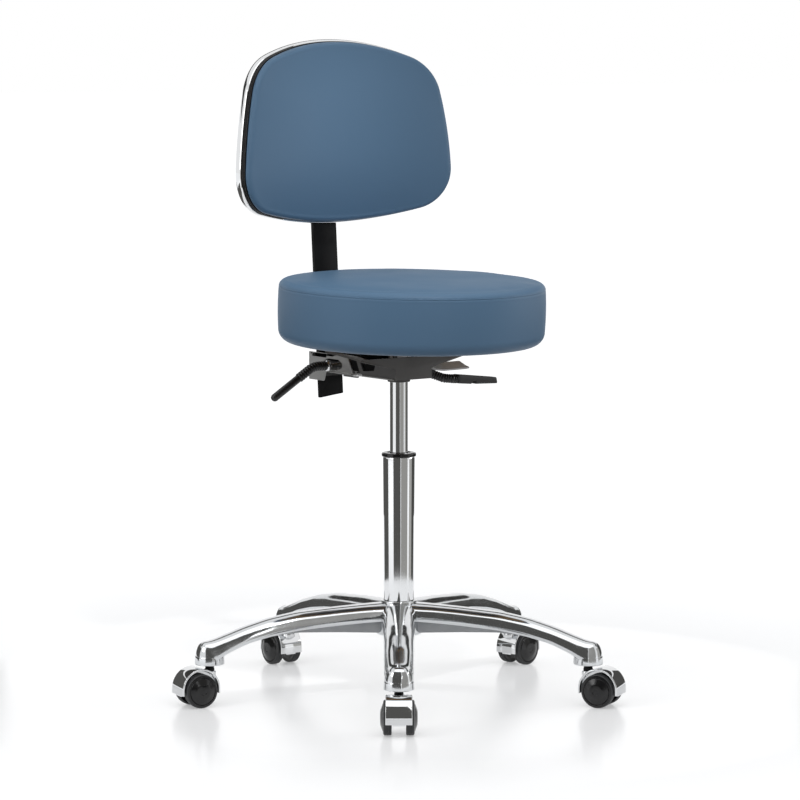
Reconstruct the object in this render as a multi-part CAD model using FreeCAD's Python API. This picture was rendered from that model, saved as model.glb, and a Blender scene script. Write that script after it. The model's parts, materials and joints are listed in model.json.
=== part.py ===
"""Clinic stool with a round seat, an upright backrest and a five-caster base, in millimetres.

The origin lies on the floor on the column's axis, +Z is up and the sitter faces -Y.
"""
import FreeCAD, Part
import math
import os

from FreeCAD import Vector

# Fits and clearances
running_fit = 0.05
fixed_fit = 0.02
soft_gap = 0.3
swing_gap = 1.0

# Star base
leg_count = 5
leg_start_deg = -127.0
stem_circle_radius = 305.0
hub_radius = 36.0
hub_top_z = 148.0
hub_bottom_z = 95.0
hub_collar_radius = 28.5
hub_collar_rise = 8.0
leg_root_width = 50.0
leg_tip_width = 44.0
leg_root_top_z = 144.0
leg_knee_top_z = 138.0
leg_knee_radius = 165.0
leg_tip_top_z = 98.0
leg_cap_depth = 24.0
leg_rib_width = 24.0
leg_rib_root_z = 97.0
leg_rib_knee_z = 106.0
leg_rib_tip_z = 84.0
boss_bottom_z = 64.5
boss_radius = 21.5
boss_crown = 12.0

# Casters
wheel_radius = 26.0
wheel_inner_gap = 21.0
tread_width = 12.0
wheel_dome = 5.0
wheel_cap_radius = 20.0
wheel_groove = 1.2
axle_radius = 3.0
caster_trail = 23.0
caster_turns_deg = (0.0, -7.0, -6.0, -1.0, 11.0)
hood_radius = 32.0
hood_wall = 3.0
hood_width = 40.0
hood_skirt_z = 18.5
hood_boss_radius = 11.0
web_gap = 1.2
neck_radius = 7.35
neck_gap = 0.2
stem_radius = 5.5
stem_depth = 24.0
spigot_radius = 4.0
spigot_depth = 9.0

# Column
tube_foot_z = 80.0
tube_floor = 4.0
tube_foot_radius = 22.6
tube_neck_radius = 23.3
tube_top_radius = 25.0
tube_top_z = 373.0
tube_bore_radius = 21.0
bush_depth = 120.0
bush_flange_radius = 27.0
bush_flange = 6.0
cylinder_radius = 14.0
cylinder_bore_radius = 11.5
cylinder_foot_z = 215.0
cylinder_foot = 8.0
cylinder_top_z = 526.0
cylinder_cap = 6.0
taper_radius_top = 12.8
rod_radius = 5.0
rod_tail_radius = 4.0
rod_top_z = 342.0
piston_length = 15.0
bearing_washer = 2.0
bearing_radius = 11.0
ball_radius = 2.0
ball_count = 10
clip_thickness = 2.0
clip_radius = 9.0
valve_radius = 3.0
valve_rise = 4.0
valve_depth = 5.0

# Mechanism housing
sheet = 3.0
housing_half_width = 35.0
housing_front_y = -38.0
housing_rear_y = 46.0
housing_bottom_z = 495.0
housing_chamfer = 6.0
wall_rear_low_y = 56.0
wall_rear_high_y = 66.0
wing_front_root_z = 512.0
wing_rear_root_z = 521.0
wing_half_width = 100.0
wing_rise = 15.0
socket_radius = 17.5
socket_bottom_z = 489.0
socket_top_z = 520.0
tilt_axle_y = -27.0
tilt_axle_z = 530.0
tilt_axle_radius = 4.0
back_axle_y = 42.0
back_axle_z = 510.0
back_axle_radius = 4.0
ear_radius = 8.0
ear_gap = 2.0
window_front_y = 14.0
window_rear_y = 54.0
window_low_z = 503.0
window_high_z = 515.0

# Rear bracket and upright bar
bracket_front_low_y = 72.0
bracket_front_high_y = 88.0
bracket_rear_y = 190.0
bracket_top_z = 524.0
bracket_heel_z = 480.0
bracket_heel_y = 152.0
bracket_lip = 4.0
web_rear_y = 172.0
arm_bottom_z = 501.0
arm_top_z = 519.0
arm_rear_y = 96.0
oval_front_y = 101.0
oval_rear_y = 152.0
oval_low_z = 499.5
oval_high_z = 516.0
slot_front_y = 143.0
slot_rear_y = 182.0
slot_z = 520.0
bar_width = 45.0
bar_thickness = 8.0
bar_corner = 1.5
bar_foot_z = 450.0
bar_foot_slant = 5.0
bar_top_z = 900.0
bar_lean_deg = 3.9
bar_y = 183.0
bar_pivot_z = 500.0
guide_wall = 3.0
guide_bottom_z = 484.0
guide_top_z = 522.0
knob_radius = 13.5
knob_height = 5.0
knob_y = 100.0
knob_screw_radius = 4.0
knob_screw_length = 12.0

# Levers
pivot_radius = 2.5
pivot_ear = 3.0
pivot_ear_half = 4.0
rib_depth = 1.2
back_lever_y = 130.0
back_lever_z = 506.0
back_lever_pivot_x = -14.0
back_lever_rod_radius = 3.5
back_lever_bend_x = -70.0
back_lever_tip_x = -143.0
back_lever_drop = 44.0
back_lever_bend_radius = 34.0
back_boot_start_x = -46.0
back_boot_length = 56.0
back_boot_radius = 7.5
back_boot_ribs = 11
back_grip_radius = 6.2
tilt_lever_y = -28.0
tilt_lever_z = 503.0
tilt_lever_pivot_x = 18.0
tilt_lever_rod_radius = 3.0
tilt_lever_bend_x = 46.0
tilt_lever_dip = 10.0
tilt_lever_sweep = 15.0
tilt_lever_bend_radius = 20.0
tilt_boot_radius = 6.8
tilt_boot_ribs = 10
paddle_start_x = 78.0
paddle_tip_x = 156.0
paddle_droop = 6.0
paddle_socket = 10.0
paddle_height = 15.0
paddle_thickness = 9.0
paddle_notch_x = 108.0
paddle_notch_width = 9.0
paddle_notch_depth = 4.5
height_lever_y = -2.0
height_lever_width = 16.0
height_lever_thickness = 3.0
height_lever_pivot_x = 27.0
height_lever_z = 507.0
height_lever_tip_x = 130.0
height_lever_lip = 8.0
height_lever_toe = 5.0
valve_touch_gap = 0.3

# Seat
seat_radius = 207.0
seat_forward = 31.0
seat_bottom_z = 552.0
seat_edge_height = 94.0
seat_crown = 6.0
seat_top_round = 13.0
seat_bottom_round = 13.0
seat_side_bulge = 2.0
seat_pitch_deg = 1.6
seat_board_radius = 178.0
seat_board_thickness = 12.0
seat_plate_length = 190.0
seat_plate_width = 160.0
seat_bolt_radius = 3.0
seat_bolt_head_radius = 6.5
seat_bolt_head = 4.0
seat_bolt_inset = 16.0

# Backrest
back_half_width = 203.0
back_shoulder_half_width = 173.0
back_side_bulge = 9.0
back_bottom_z = 725.0
back_top_z = 1014.0
back_top_arch = 41.0
back_bottom_arch = 32.0
back_top_corner = 82.0
back_bottom_corner = 68.0
back_wrap_radius = 510.0
back_setback = 21.5
back_upright_deg = 4.0
trim_width = 14.0
trim_depth = 5.0
trim_gap = 0.1
gasket_width = 8.0
gasket_inset = 3.0
pad_crown = 30.0
pad_edge_depth = 14.0
pad_inset = 4.0
pad_rim_round = 9.0
back_board_thickness = 10.0
back_plate_width = 92.0
back_plate_height = 110.0
back_plate_thickness = 4.0
back_screw_radius = 3.0
back_screw_head_radius = 5.5
back_screw_head = 3.5

UP = Vector(0, 0, 1)
EAST = Vector(1, 0, 0)
NORTH = Vector(0, 1, 0)


def cylinder(radius, length, base, axis=UP):
    return Part.makeCylinder(radius, length, base, axis)


def block(x0, x1, y0, y1, z0, z1):
    return Part.makeBox(x1 - x0, y1 - y0, z1 - z0, Vector(x0, y0, z0))


def turned(points, axis_base=Vector(0, 0, 0)):
    """A closed (radius, height) outline turned about the vertical axis."""
    outline = Part.makePolygon([Vector(r, 0, z) for r, z in points + points[:1]])
    return Part.Face(outline).revolve(Vector(0, 0, 0), UP, 360).translated(axis_base)


def plate(points, origin, normal):
    """A polygon in space, thickened by the vector normal."""
    outline = Part.makePolygon([origin + p for p in points + points[:1]])
    return Part.Face(outline).extrude(normal)


def ring(outer, inner, length, base, axis=UP):
    return cylinder(outer, length, base, axis).cut(cylinder(inner, length, base, axis))


def polar(radius, angle_deg, z=0.0):
    angle = math.radians(angle_deg)
    return Vector(radius * math.cos(angle), radius * math.sin(angle), z)


def spun(shape, angle_deg):
    return shape.rotated(Vector(0, 0, 0), UP, angle_deg)


def leg_section(radius, width, top_z, bottom_z):
    """Flat-bottomed section across a leg, with upright sides and a rounded top."""
    half = width / 2
    shoulder_z = top_z - 0.42 * (top_z - bottom_z)
    corners = [Vector(radius, -half, bottom_z), Vector(radius, half, bottom_z),
               Vector(radius, half, shoulder_z), Vector(radius, -half, shoulder_z)]
    crown = Part.Arc(corners[2], Vector(radius, 0, top_z), corners[3]).toShape()
    return Part.Wire([Part.makeLine(corners[0], corners[1]), Part.makeLine(corners[1], corners[2]), crown,
                      Part.makeLine(corners[3], corners[0])])


def base_leg():
    """One leg along +X: a rounded cap, a narrower rib under it and the boss for the caster stem."""
    knee_width = (leg_root_width + leg_tip_width) / 2
    root = tube_neck_radius + 1.0
    cap = Part.makeLoft([
        leg_section(root, leg_root_width, leg_root_top_z, leg_root_top_z - leg_cap_depth),
        leg_section(leg_knee_radius, knee_width, leg_knee_top_z, leg_knee_top_z - leg_cap_depth),
        leg_section(stem_circle_radius, leg_tip_width, leg_tip_top_z, leg_tip_top_z - leg_cap_depth),
    ], True, False)
    knee_line = (leg_knee_radius, leg_rib_knee_z, leg_knee_top_z - leg_cap_depth / 2)
    tip_line = (stem_circle_radius - boss_radius / 2, leg_rib_tip_z, leg_tip_top_z - leg_cap_depth / 2)
    root_line = (root, leg_rib_root_z, leg_root_top_z - leg_cap_depth / 2)
    lines = [root_line, knee_line, tip_line]
    side = [Vector(r, 0, low) for r, low, high in lines]
    side += [Vector(r, 0, high) for r, low, high in lines[::-1]]
    rib = plate(side, Vector(0, -leg_rib_width / 2, 0), Vector(0, leg_rib_width, 0))
    boss_height = leg_tip_top_z - boss_bottom_z - 1.0
    boss = cylinder(boss_radius, boss_height, Vector(stem_circle_radius, 0, boss_bottom_z))
    top_edges = [e for e in boss.Edges if e.BoundBox.ZMin > boss_bottom_z + boss_height - 0.01]
    boss = boss.makeFillet(min(boss_crown, 0.8 * boss_radius), top_edges)
    return cap.fuse(rib).fuse(boss)


def star_base():
    hub = turned([(0, hub_bottom_z), (hub_radius, hub_bottom_z), (hub_radius, hub_top_z - hub_collar_rise),
                  (hub_collar_radius, hub_top_z), (0, hub_top_z)])
    leg = base_leg()
    base = hub.multiFuse([spun(leg, leg_start_deg + 360.0 * k / leg_count) for k in range(leg_count)])
    base = base.cut(tube_envelope(fixed_fit))
    for k in range(leg_count):
        foot = polar(stem_circle_radius, leg_start_deg + 360.0 * k / leg_count, boss_bottom_z)
        base = base.cut(cylinder(stem_radius + running_fit, stem_depth + swing_gap, foot))
    return base


def tube_envelope(clearance=0.0):
    """Outside of the column tube, which tapers down into the hub."""
    return turned([(0, tube_foot_z), (tube_foot_radius + clearance, tube_foot_z),
                   (tube_neck_radius + clearance, hub_top_z), (tube_top_radius + clearance, tube_top_z),
                   (0, tube_top_z)])


def column_tube():
    bore = cylinder(tube_bore_radius, tube_top_z, Vector(0, 0, tube_foot_z + tube_floor))
    tail = cylinder(rod_tail_radius + running_fit, tube_floor, Vector(0, 0, tube_foot_z))
    return tube_envelope().cut(bore).cut(tail)


def guide_bush():
    sleeve = cylinder(tube_bore_radius - fixed_fit, bush_depth, Vector(0, 0, tube_top_z - bush_depth))
    flange = cylinder(bush_flange_radius, bush_flange, Vector(0, 0, tube_top_z))
    hole = cylinder(cylinder_radius + running_fit, bush_depth + bush_flange,
                    Vector(0, 0, tube_top_z - bush_depth))
    return sleeve.fuse(flange).cut(hole)


def bearing_top_z():
    return tube_foot_z + tube_floor + 2 * bearing_washer + 2 * ball_radius


def thrust_bearing():
    """Two washers with a ring of balls between them, on the tube's floor."""
    floor_z = tube_foot_z + tube_floor
    hole = rod_tail_radius + running_fit
    lower = ring(bearing_radius, hole, bearing_washer, Vector(0, 0, floor_z))
    upper = ring(bearing_radius, hole, bearing_washer, Vector(0, 0, bearing_top_z() - bearing_washer))
    pitch = (bearing_radius + hole) / 2
    middle_z = floor_z + bearing_washer + ball_radius
    balls = [Part.makeSphere(ball_radius - fixed_fit / 2, polar(pitch, 360.0 * k / ball_count, middle_z))
             for k in range(ball_count)]
    return Part.makeCompound([lower, upper] + balls)


def piston_rod():
    """Rod that stands on the thrust bearing, with a thinner tail through the tube's floor."""
    shoulder_z = bearing_top_z() + running_fit
    tail_z = tube_foot_z - running_fit - clip_thickness
    tail = cylinder(rod_tail_radius, shoulder_z - tail_z, Vector(0, 0, tail_z))
    return tail.fuse(cylinder(rod_radius, rod_top_z - shoulder_z, Vector(0, 0, shoulder_z)))


def rod_clip():
    tail_z = tube_foot_z - running_fit - clip_thickness
    return ring(clip_radius, rod_tail_radius + fixed_fit, clip_thickness, Vector(0, 0, tail_z))


def piston():
    return ring(cylinder_bore_radius - running_fit, rod_radius + fixed_fit, piston_length,
                Vector(0, 0, rod_top_z - piston_length))


def gas_cylinder():
    body = turned([(0, cylinder_foot_z), (cylinder_radius, cylinder_foot_z),
                   (cylinder_radius, socket_bottom_z),
                   (taper_radius_top, cylinder_top_z), (0, cylinder_top_z)])
    chamber_foot_z = cylinder_foot_z + cylinder_foot
    chamber = cylinder(cylinder_bore_radius, cylinder_top_z - cylinder_cap - valve_depth - chamber_foot_z,
                       Vector(0, 0, chamber_foot_z))
    gland = cylinder(rod_radius + running_fit, cylinder_foot, Vector(0, 0, cylinder_foot_z))
    valve_hole = cylinder(valve_radius + running_fit, cylinder_cap + valve_depth,
                          Vector(0, 0, cylinder_top_z - cylinder_cap - valve_depth))
    return body.cut(chamber).cut(gland).cut(valve_hole)


def valve_pin():
    return cylinder(valve_radius, valve_depth + valve_rise, Vector(0, 0, cylinder_top_z - valve_depth))


def wheel():
    """A wheel on the Y axis: tread, domed outer face with a cap groove, and the axle bore."""
    inner = wheel_inner_gap / 2
    outer = inner + tread_width
    profile = [(axle_radius + running_fit, inner), (wheel_radius - 1.5, inner), (wheel_radius, inner + 1.5),
               (wheel_radius, outer - 1.5), (wheel_radius - 1.5, outer),
               (wheel_cap_radius + wheel_groove, outer + 1.0),
               (wheel_cap_radius + wheel_groove / 2, outer - 0.2),
               (wheel_cap_radius, outer + 1.4), (wheel_cap_radius * 0.55, outer + wheel_dome),
               (axle_radius + running_fit, outer + wheel_dome)]
    return turned(profile).rotated(Vector(0, 0, 0), EAST, -90)


def caster_hood():
    """Arch over both wheels about the axle, a web between them and the boss that takes the stem."""
    half = hood_width / 2
    centre = Vector(caster_trail, -half, wheel_radius)
    arch = ring(hood_radius, hood_radius - hood_wall, hood_width, centre, NORTH)
    above = block(caster_trail - hood_radius, caster_trail + hood_radius, -half, half,
                  wheel_radius, wheel_radius + hood_radius)
    hood = arch.common(above)
    for side in (-1, 1):
        edge = [caster_trail + side * hood_radius, caster_trail + side * (hood_radius - hood_wall)]
        hood = hood.fuse(block(min(edge), max(edge), -half, half, hood_skirt_z, wheel_radius))
    web_half = wheel_inner_gap / 2 - web_gap
    web = cylinder(hood_radius - hood_wall / 2, 2 * web_half, Vector(caster_trail, -web_half, wheel_radius),
                   NORTH)
    web = web.common(block(caster_trail - hood_radius, caster_trail + hood_radius, -web_half, web_half,
                           hood_skirt_z, wheel_radius + hood_radius))
    hood_top_z = wheel_radius + hood_radius
    boss_foot_z = hood_top_z - spigot_depth - hood_wall
    boss = cylinder(hood_boss_radius, hood_top_z - boss_foot_z, Vector(0, 0, boss_foot_z))
    wheel_space = cylinder(wheel_radius + swing_gap, hood_width, centre, NORTH)
    boss = boss.cut(wheel_space.cut(block(-hood_radius, caster_trail + hood_radius, -web_half, web_half, 0,
                                          hood_top_z)))
    hood = hood.multiFuse([web, boss])
    hood = hood.cut(cylinder(axle_radius + fixed_fit, hood_width, centre, NORTH))
    return hood.cut(cylinder(spigot_radius + fixed_fit, spigot_depth + fixed_fit,
                             Vector(0, 0, hood_top_z - spigot_depth - fixed_fit)))


def caster_stem():
    hood_top_z = wheel_radius + hood_radius
    spigot = cylinder(spigot_radius, spigot_depth, Vector(0, 0, hood_top_z - spigot_depth))
    neck = cylinder(neck_radius, boss_bottom_z - neck_gap - hood_top_z, Vector(0, 0, hood_top_z))
    pin = cylinder(stem_radius, stem_depth + neck_gap, Vector(0, 0, boss_bottom_z - neck_gap))
    return spigot.fuse(neck).fuse(pin)


def caster_axle():
    length = wheel_inner_gap + 2 * tread_width + 2 * wheel_dome - 2.0
    return cylinder(axle_radius, length, Vector(caster_trail, -length / 2, wheel_radius), NORTH)


def casters():
    """All caster pieces, each turned about its stem and carried to its leg."""
    left = wheel().translated(Vector(caster_trail, 0, wheel_radius))
    right = left.mirror(Vector(0, 0, 0), NORTH)
    pieces = {"hood": caster_hood(), "stem": caster_stem(), "axle": caster_axle(),
              "wheel_left": left, "wheel_right": right}
    placed = {}
    for k in range(leg_count):
        leg_deg = leg_start_deg + 360.0 * k / leg_count
        for name, shape in pieces.items():
            turned_shape = spun(shape, leg_deg + caster_turns_deg[k % len(caster_turns_deg)])
            stem_place = polar(stem_circle_radius, leg_deg)
            placed["caster_%d_%s" % (k + 1, name)] = turned_shape.translated(stem_place)
    return placed


def side_plate(points, outer_x):
    """A (y, z) outline as an upright plate whose outer face lies at outer_x, on that side of the middle."""
    side = math.copysign(1.0, outer_x)
    return plate([Vector(0, y, z) for y, z in points], Vector(outer_x, 0, 0), Vector(-side * sheet, 0, 0))


def side_cut(points, outer_x):
    """A (y, z) outline as a cutter through the plate whose outer face lies at outer_x."""
    side = math.copysign(1.0, outer_x)
    start = Vector(outer_x + side * 2 * sheet, 0, 0)
    return plate([Vector(0, y, z) for y, z in points], start, Vector(-side * 4 * sheet, 0, 0))


def pivot_ears(x, y, z, gap, floor_z):
    """Two upright ears beside a lever, drilled for its pivot pin, which lies along Y."""
    ears = []
    for y0 in (y - gap - pivot_ear, y + gap):
        ears.append(block(x - pivot_ear_half, x + pivot_ear_half, y0, y0 + pivot_ear, floor_z,
                          z + pivot_ear_half))
    hole = cylinder(pivot_radius + running_fit, 4 * gap + 4 * pivot_ear,
                    Vector(x, y - 2 * gap - 2 * pivot_ear, z),
                    NORTH)
    return ears, hole


def pivot_pin(x, y, z, gap):
    length = 2 * (gap + pivot_ear)
    return cylinder(pivot_radius, length, Vector(x, y - length / 2, z), NORTH)


def tilt_ear_gap():
    return tilt_lever_rod_radius + 0.5


def height_ear_gap():
    return height_lever_width / 2 + 0.5


def back_ear_gap():
    return back_lever_rod_radius + 0.5


def wing(side):
    """Flared wing of the housing: a sloped sheet that rises towards the rear."""
    sections = []
    for y, root_z in ((housing_front_y, wing_front_root_z), (wall_rear_low_y, wing_rear_root_z)):
        inner = side * (housing_half_width - sheet)
        outer = side * wing_half_width
        corners = [Vector(inner, y, root_z), Vector(outer, y, root_z + wing_rise),
                   Vector(outer, y, root_z + wing_rise + sheet), Vector(inner, y, root_z + sheet)]
        sections.append(Part.makePolygon(corners + corners[:1]))
    return Part.makeLoft(sections, True, True)


def mechanism_housing():
    """Pressed box round the column's top, with a flared front, wings, axle ears and lever ears."""
    half = housing_half_width
    floor_top_z = housing_bottom_z + sheet
    body = block(-half, half, housing_front_y, housing_rear_y, housing_bottom_z, floor_top_z)
    front_points = [Vector(-half + housing_chamfer, 0, housing_bottom_z),
                    Vector(half - housing_chamfer, 0, housing_bottom_z),
                    Vector(half, 0, housing_bottom_z + housing_chamfer), Vector(half, 0, wing_front_root_z),
                    Vector(wing_half_width, 0, wing_front_root_z + wing_rise),
                    Vector(wing_half_width, 0, wing_front_root_z + wing_rise + sheet),
                    Vector(-wing_half_width, 0, wing_front_root_z + wing_rise + sheet),
                    Vector(-wing_half_width, 0, wing_front_root_z + wing_rise),
                    Vector(-half, 0, wing_front_root_z),
                    Vector(-half, 0, housing_bottom_z + housing_chamfer)]
    pieces = [plate(front_points, Vector(0, housing_front_y, 0), Vector(0, sheet, 0))]
    wall = [(housing_front_y, housing_bottom_z), (housing_rear_y, housing_bottom_z),
            (wall_rear_low_y, window_low_z), (wall_rear_high_y, wing_rear_root_z + sheet),
            (wall_rear_low_y, wing_rear_root_z + sheet), (housing_front_y, wing_front_root_z + sheet)]
    tilt_ear = [(tilt_axle_y - ear_radius, wing_front_root_z), (tilt_axle_y + ear_radius, wing_front_root_z),
                (tilt_axle_y + ear_radius, tilt_axle_z + ear_radius / 2),
                (tilt_axle_y + ear_radius / 2, tilt_axle_z + ear_radius),
                (tilt_axle_y - ear_radius / 2, tilt_axle_z + ear_radius),
                (tilt_axle_y - ear_radius, tilt_axle_z + ear_radius / 2)]
    back_ear = [(back_axle_y - ear_radius, floor_top_z - sheet / 2),
                (housing_rear_y, floor_top_z - sheet / 2),
                (back_axle_y + ear_radius, back_axle_z),
                (back_axle_y + ear_radius / 2, back_axle_z + ear_radius),
                (back_axle_y - ear_radius / 2, back_axle_z + ear_radius)]
    for side in (-1, 1):
        pieces += [side_plate(wall, side * half), wing(side), side_plate(tilt_ear, side * half),
                   side_plate(back_ear, side * (arm_outer_x() - sheet - ear_gap))]
    tilt_ears, tilt_hole = pivot_ears(tilt_lever_pivot_x, tilt_lever_y, tilt_lever_z, tilt_ear_gap(),
                                      housing_bottom_z)
    height_ears, height_hole = pivot_ears(height_lever_pivot_x, height_lever_y, height_lever_z,
                                          height_ear_gap(),
                                          housing_bottom_z)
    body = body.multiFuse(pieces + tilt_ears + height_ears)
    inside = housing_front_y + sheet / 2
    cutters = [tilt_hole.cut(block(-half, half, inside - 2 * half, inside, 0, tilt_axle_z)), height_hole,
               cylinder(socket_radius + fixed_fit, 2 * sheet, Vector(0, 0, housing_bottom_z - sheet)),
               cylinder(tilt_axle_radius + fixed_fit, 2 * half, Vector(-half, tilt_axle_y, tilt_axle_z),
                        EAST),
               cylinder(back_axle_radius + fixed_fit, 2 * half, Vector(-half, back_axle_y, back_axle_z), EAST)
               .common(block(-arm_outer_x(), arm_outer_x(), 0, 2 * half, 0, tilt_axle_z))]
    window = [(window_front_y, window_high_z), (window_front_y + ear_radius / 2, window_low_z + sheet),
              (window_rear_y - ear_radius, window_low_z), (window_rear_y, window_high_z + sheet)]
    cutters += [side_cut(window, side * half) for side in (-1, 1)]
    cutters += [lever_exit(tilt_lever_y, tilt_lever_z, tilt_lever_rod_radius + 2 * swing_gap),
                lever_exit(height_lever_y, height_lever_z, height_lever_thickness / 2 + 2 * swing_gap,
                           height_lever_width / 2 + swing_gap)]
    return body.cut(cutters).removeSplitter()


def lever_exit(y, z, half_height, half_length=None):
    """Opening in the housing's left wall that a lever passes through and swings in."""
    length = half_length or half_height
    inner_x = housing_half_width - 2 * sheet
    return block(inner_x, housing_half_width + sheet, y - length, y + length, z - half_height,
                 z + half_height)


def arm_outer_x():
    return housing_half_width - sheet - ear_gap


def taper_socket():
    """Sleeve with a tapered bore that the gas cylinder's top wedges into."""
    sleeve = cylinder(socket_radius, socket_top_z - socket_bottom_z, Vector(0, 0, socket_bottom_z))
    taper = Part.makeCone(cylinder_radius + fixed_fit, taper_radius_top + fixed_fit,
                          cylinder_top_z - socket_bottom_z,
                          Vector(0, 0, socket_bottom_z))
    return sleeve.cut(taper)


def tilt_axle():
    half = housing_half_width
    return cylinder(tilt_axle_radius, 2 * half, Vector(-half, tilt_axle_y, tilt_axle_z), EAST)


def back_axle():
    half = arm_outer_x()
    return cylinder(back_axle_radius, 2 * half, Vector(-half, back_axle_y, back_axle_z), EAST)


def oval_points():
    """Eight-sided outline of the window that the back lever swings in."""
    bevel = (oval_high_z - oval_low_z) / 3
    return [(oval_front_y, oval_low_z + bevel), (oval_front_y + 2 * bevel, oval_low_z),
            (oval_rear_y - 2 * bevel, oval_low_z), (oval_rear_y, oval_low_z + bevel),
            (oval_rear_y, oval_high_z - bevel), (oval_rear_y - 2 * bevel, oval_high_z),
            (oval_front_y + 2 * bevel, oval_high_z), (oval_front_y, oval_high_z - bevel)]


def back_bracket():
    """Channel behind the housing: slotted side plates with lips, a web and two arms to the back axle."""
    half = housing_half_width
    bottom = housing_bottom_z
    web = block(-half, half, bracket_front_low_y, web_rear_y, bottom, bottom + sheet)
    side = [(bracket_front_low_y, bottom), (bracket_heel_y - 2 * sheet, bottom),
            (bracket_heel_y, bracket_heel_z),
            (bracket_rear_y, bracket_heel_z), (bracket_rear_y, bracket_top_z),
            (bracket_front_high_y, bracket_top_z)]
    arm = [(back_axle_y - ear_radius, arm_bottom_z), (bracket_front_low_y, arm_bottom_z),
           (bracket_front_low_y, bottom), (arm_rear_y, bottom), (arm_rear_y, arm_top_z),
           (back_axle_y - ear_radius / 2, arm_top_z),
           (back_axle_y - ear_radius, back_axle_z + ear_radius / 2)]
    slot = [(slot_front_y, slot_z - sheet), (slot_rear_y, slot_z - sheet), (slot_rear_y, slot_z + sheet),
            (slot_front_y, slot_z + sheet)]
    pieces = []
    for sign in (-1, 1):
        lip = [sign * half, sign * (half + bracket_lip)]
        plate_shape = side_plate(side, sign * half).cut([side_cut(slot, sign * half),
                                                         side_cut(oval_points(), sign * half)])
        pieces += [plate_shape, side_plate(arm, sign * arm_outer_x()),
                   block(min(lip), max(lip), bracket_front_low_y, bracket_heel_y - 2 * sheet, bottom,
                         bottom + sheet / 2)]
    ears, hole = pivot_ears(back_lever_pivot_x, back_lever_y, back_lever_z, back_ear_gap(), bottom)
    axle_hole = cylinder(back_axle_radius + running_fit, 2 * half,
                         Vector(-half, back_axle_y, back_axle_z), EAST)
    screw_hole = cylinder(knob_screw_radius + running_fit, 2 * sheet, Vector(0, knob_y, bottom - sheet))
    return web.multiFuse(pieces + ears).cut([hole, axle_hole, screw_hole]).removeSplitter()


def tension_knob():
    """Round knob under the bracket's web, with its screw through the web."""
    top_z = housing_bottom_z - soft_gap
    knob = cylinder(knob_radius, knob_height, Vector(0, knob_y, top_z - knob_height))
    foot_edges = [e for e in knob.Edges if e.BoundBox.ZMax < top_z - knob_height + 0.01]
    knob = knob.makeFillet(knob_height / 3, foot_edges)
    return knob.fuse(cylinder(knob_screw_radius, knob_screw_length, Vector(0, knob_y, top_z)))


def leaned(shape):
    """Lean an upright shape back with the bar, about the bar's middle in its guide."""
    return shape.rotated(Vector(0, bar_y, bar_pivot_z), EAST, -bar_lean_deg)


def back_bar():
    half = bar_width / 2
    bar = block(-half, half, bar_y - bar_thickness / 2, bar_y + bar_thickness / 2, bar_foot_z, bar_top_z)
    bar = bar.makeFillet(bar_corner, [e for e in bar.Edges if abs(e.tangentAt(e.FirstParameter).z) > 0.9])
    foot = plate([Vector(-half, 0, bar_foot_z), Vector(half, 0, bar_foot_z),
                  Vector(half, 0, bar_foot_z + bar_foot_slant)],
                 Vector(0, bar_y - bar_thickness, 0), Vector(0, 2 * bar_thickness, 0))
    return leaned(bar.cut(foot))


def bar_guide():
    half = housing_half_width - sheet
    deep = bar_thickness / 2 + running_fit + guide_wall
    guide = block(-half, half, bar_y - deep, bar_y + deep, guide_bottom_z, guide_top_z)
    slit_half_x = bar_width / 2 + running_fit
    slit_half_y = bar_thickness / 2 + running_fit
    slit = block(-slit_half_x, slit_half_x, bar_y - slit_half_y, bar_y + slit_half_y, guide_bottom_z,
                 guide_top_z)
    return leaned(guide.cut(slit))


def rounded_path(points, radius):
    """Straight runs through the points, joined by tangent arcs."""
    edges = []
    start = points[0]
    for before, corner, after in zip(points, points[1:], points[2:]):
        back = (before - corner).normalize()
        ahead = (after - corner).normalize()
        half_turn = (math.pi - back.getAngle(ahead)) / 2
        reach = radius * math.tan(half_turn)
        enter = corner + back * reach
        leave = corner + ahead * reach
        inward = (back + ahead).normalize()
        middle = corner + inward * (radius / math.cos(half_turn) - radius)
        edges += [Part.makeLine(start, enter), Part.Arc(enter, middle, leave).toShape()]
        start = leave
    edges.append(Part.makeLine(start, points[-1]))
    return Part.Wire(edges)


def tube_along(path, radius):
    first = path.Edges[0]
    start = first.valueAt(first.FirstParameter)
    section = Part.Wire(Part.makeCircle(radius, start, first.tangentAt(first.FirstParameter)))
    return path.makePipeShell([section], True, True)


def walk(path, distance):
    """The point and direction at a distance along a path."""
    for edge in path.OrderedEdges:
        if distance <= edge.Length or edge.isSame(path.OrderedEdges[-1]):
            break
        distance -= edge.Length
    place = edge.getParameterByLength(min(distance, edge.Length))
    return edge.valueAt(place), edge.tangentAt(place)


def ribbed_sleeve(path, start, length, radius, ribs, bore):
    """Ribbed boot on a stretch of a path: four circles to each rib, all on one steady cross axis."""
    count = 4 * ribs
    circles = []
    for i in range(count + 1):
        point, along = walk(path, start + length * i / count)
        size = radius if i % 4 in (1, 2) else radius - rib_depth
        circle = Part.Wire(Part.makeCircle(size))
        circle.Placement = FreeCAD.Placement(point, FreeCAD.Rotation(NORTH, Vector(), along, "ZXY"))
        circles.append(circle)
    return Part.makeLoft(circles, True, True).cut(tube_along(path, bore))


def back_lever_path():
    """From inside the bracket out to the sitter's right, level at first and then sloping down."""
    return rounded_path([Vector(back_lever_pivot_x + back_lever_rod_radius, back_lever_y, back_lever_z),
                         Vector(back_lever_bend_x, back_lever_y, back_lever_z),
                         Vector(back_lever_tip_x, back_lever_y, back_lever_z - back_lever_drop)],
                        back_lever_bend_radius)


def back_boot_start():
    return back_lever_pivot_x + back_lever_rod_radius - back_boot_start_x


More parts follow.
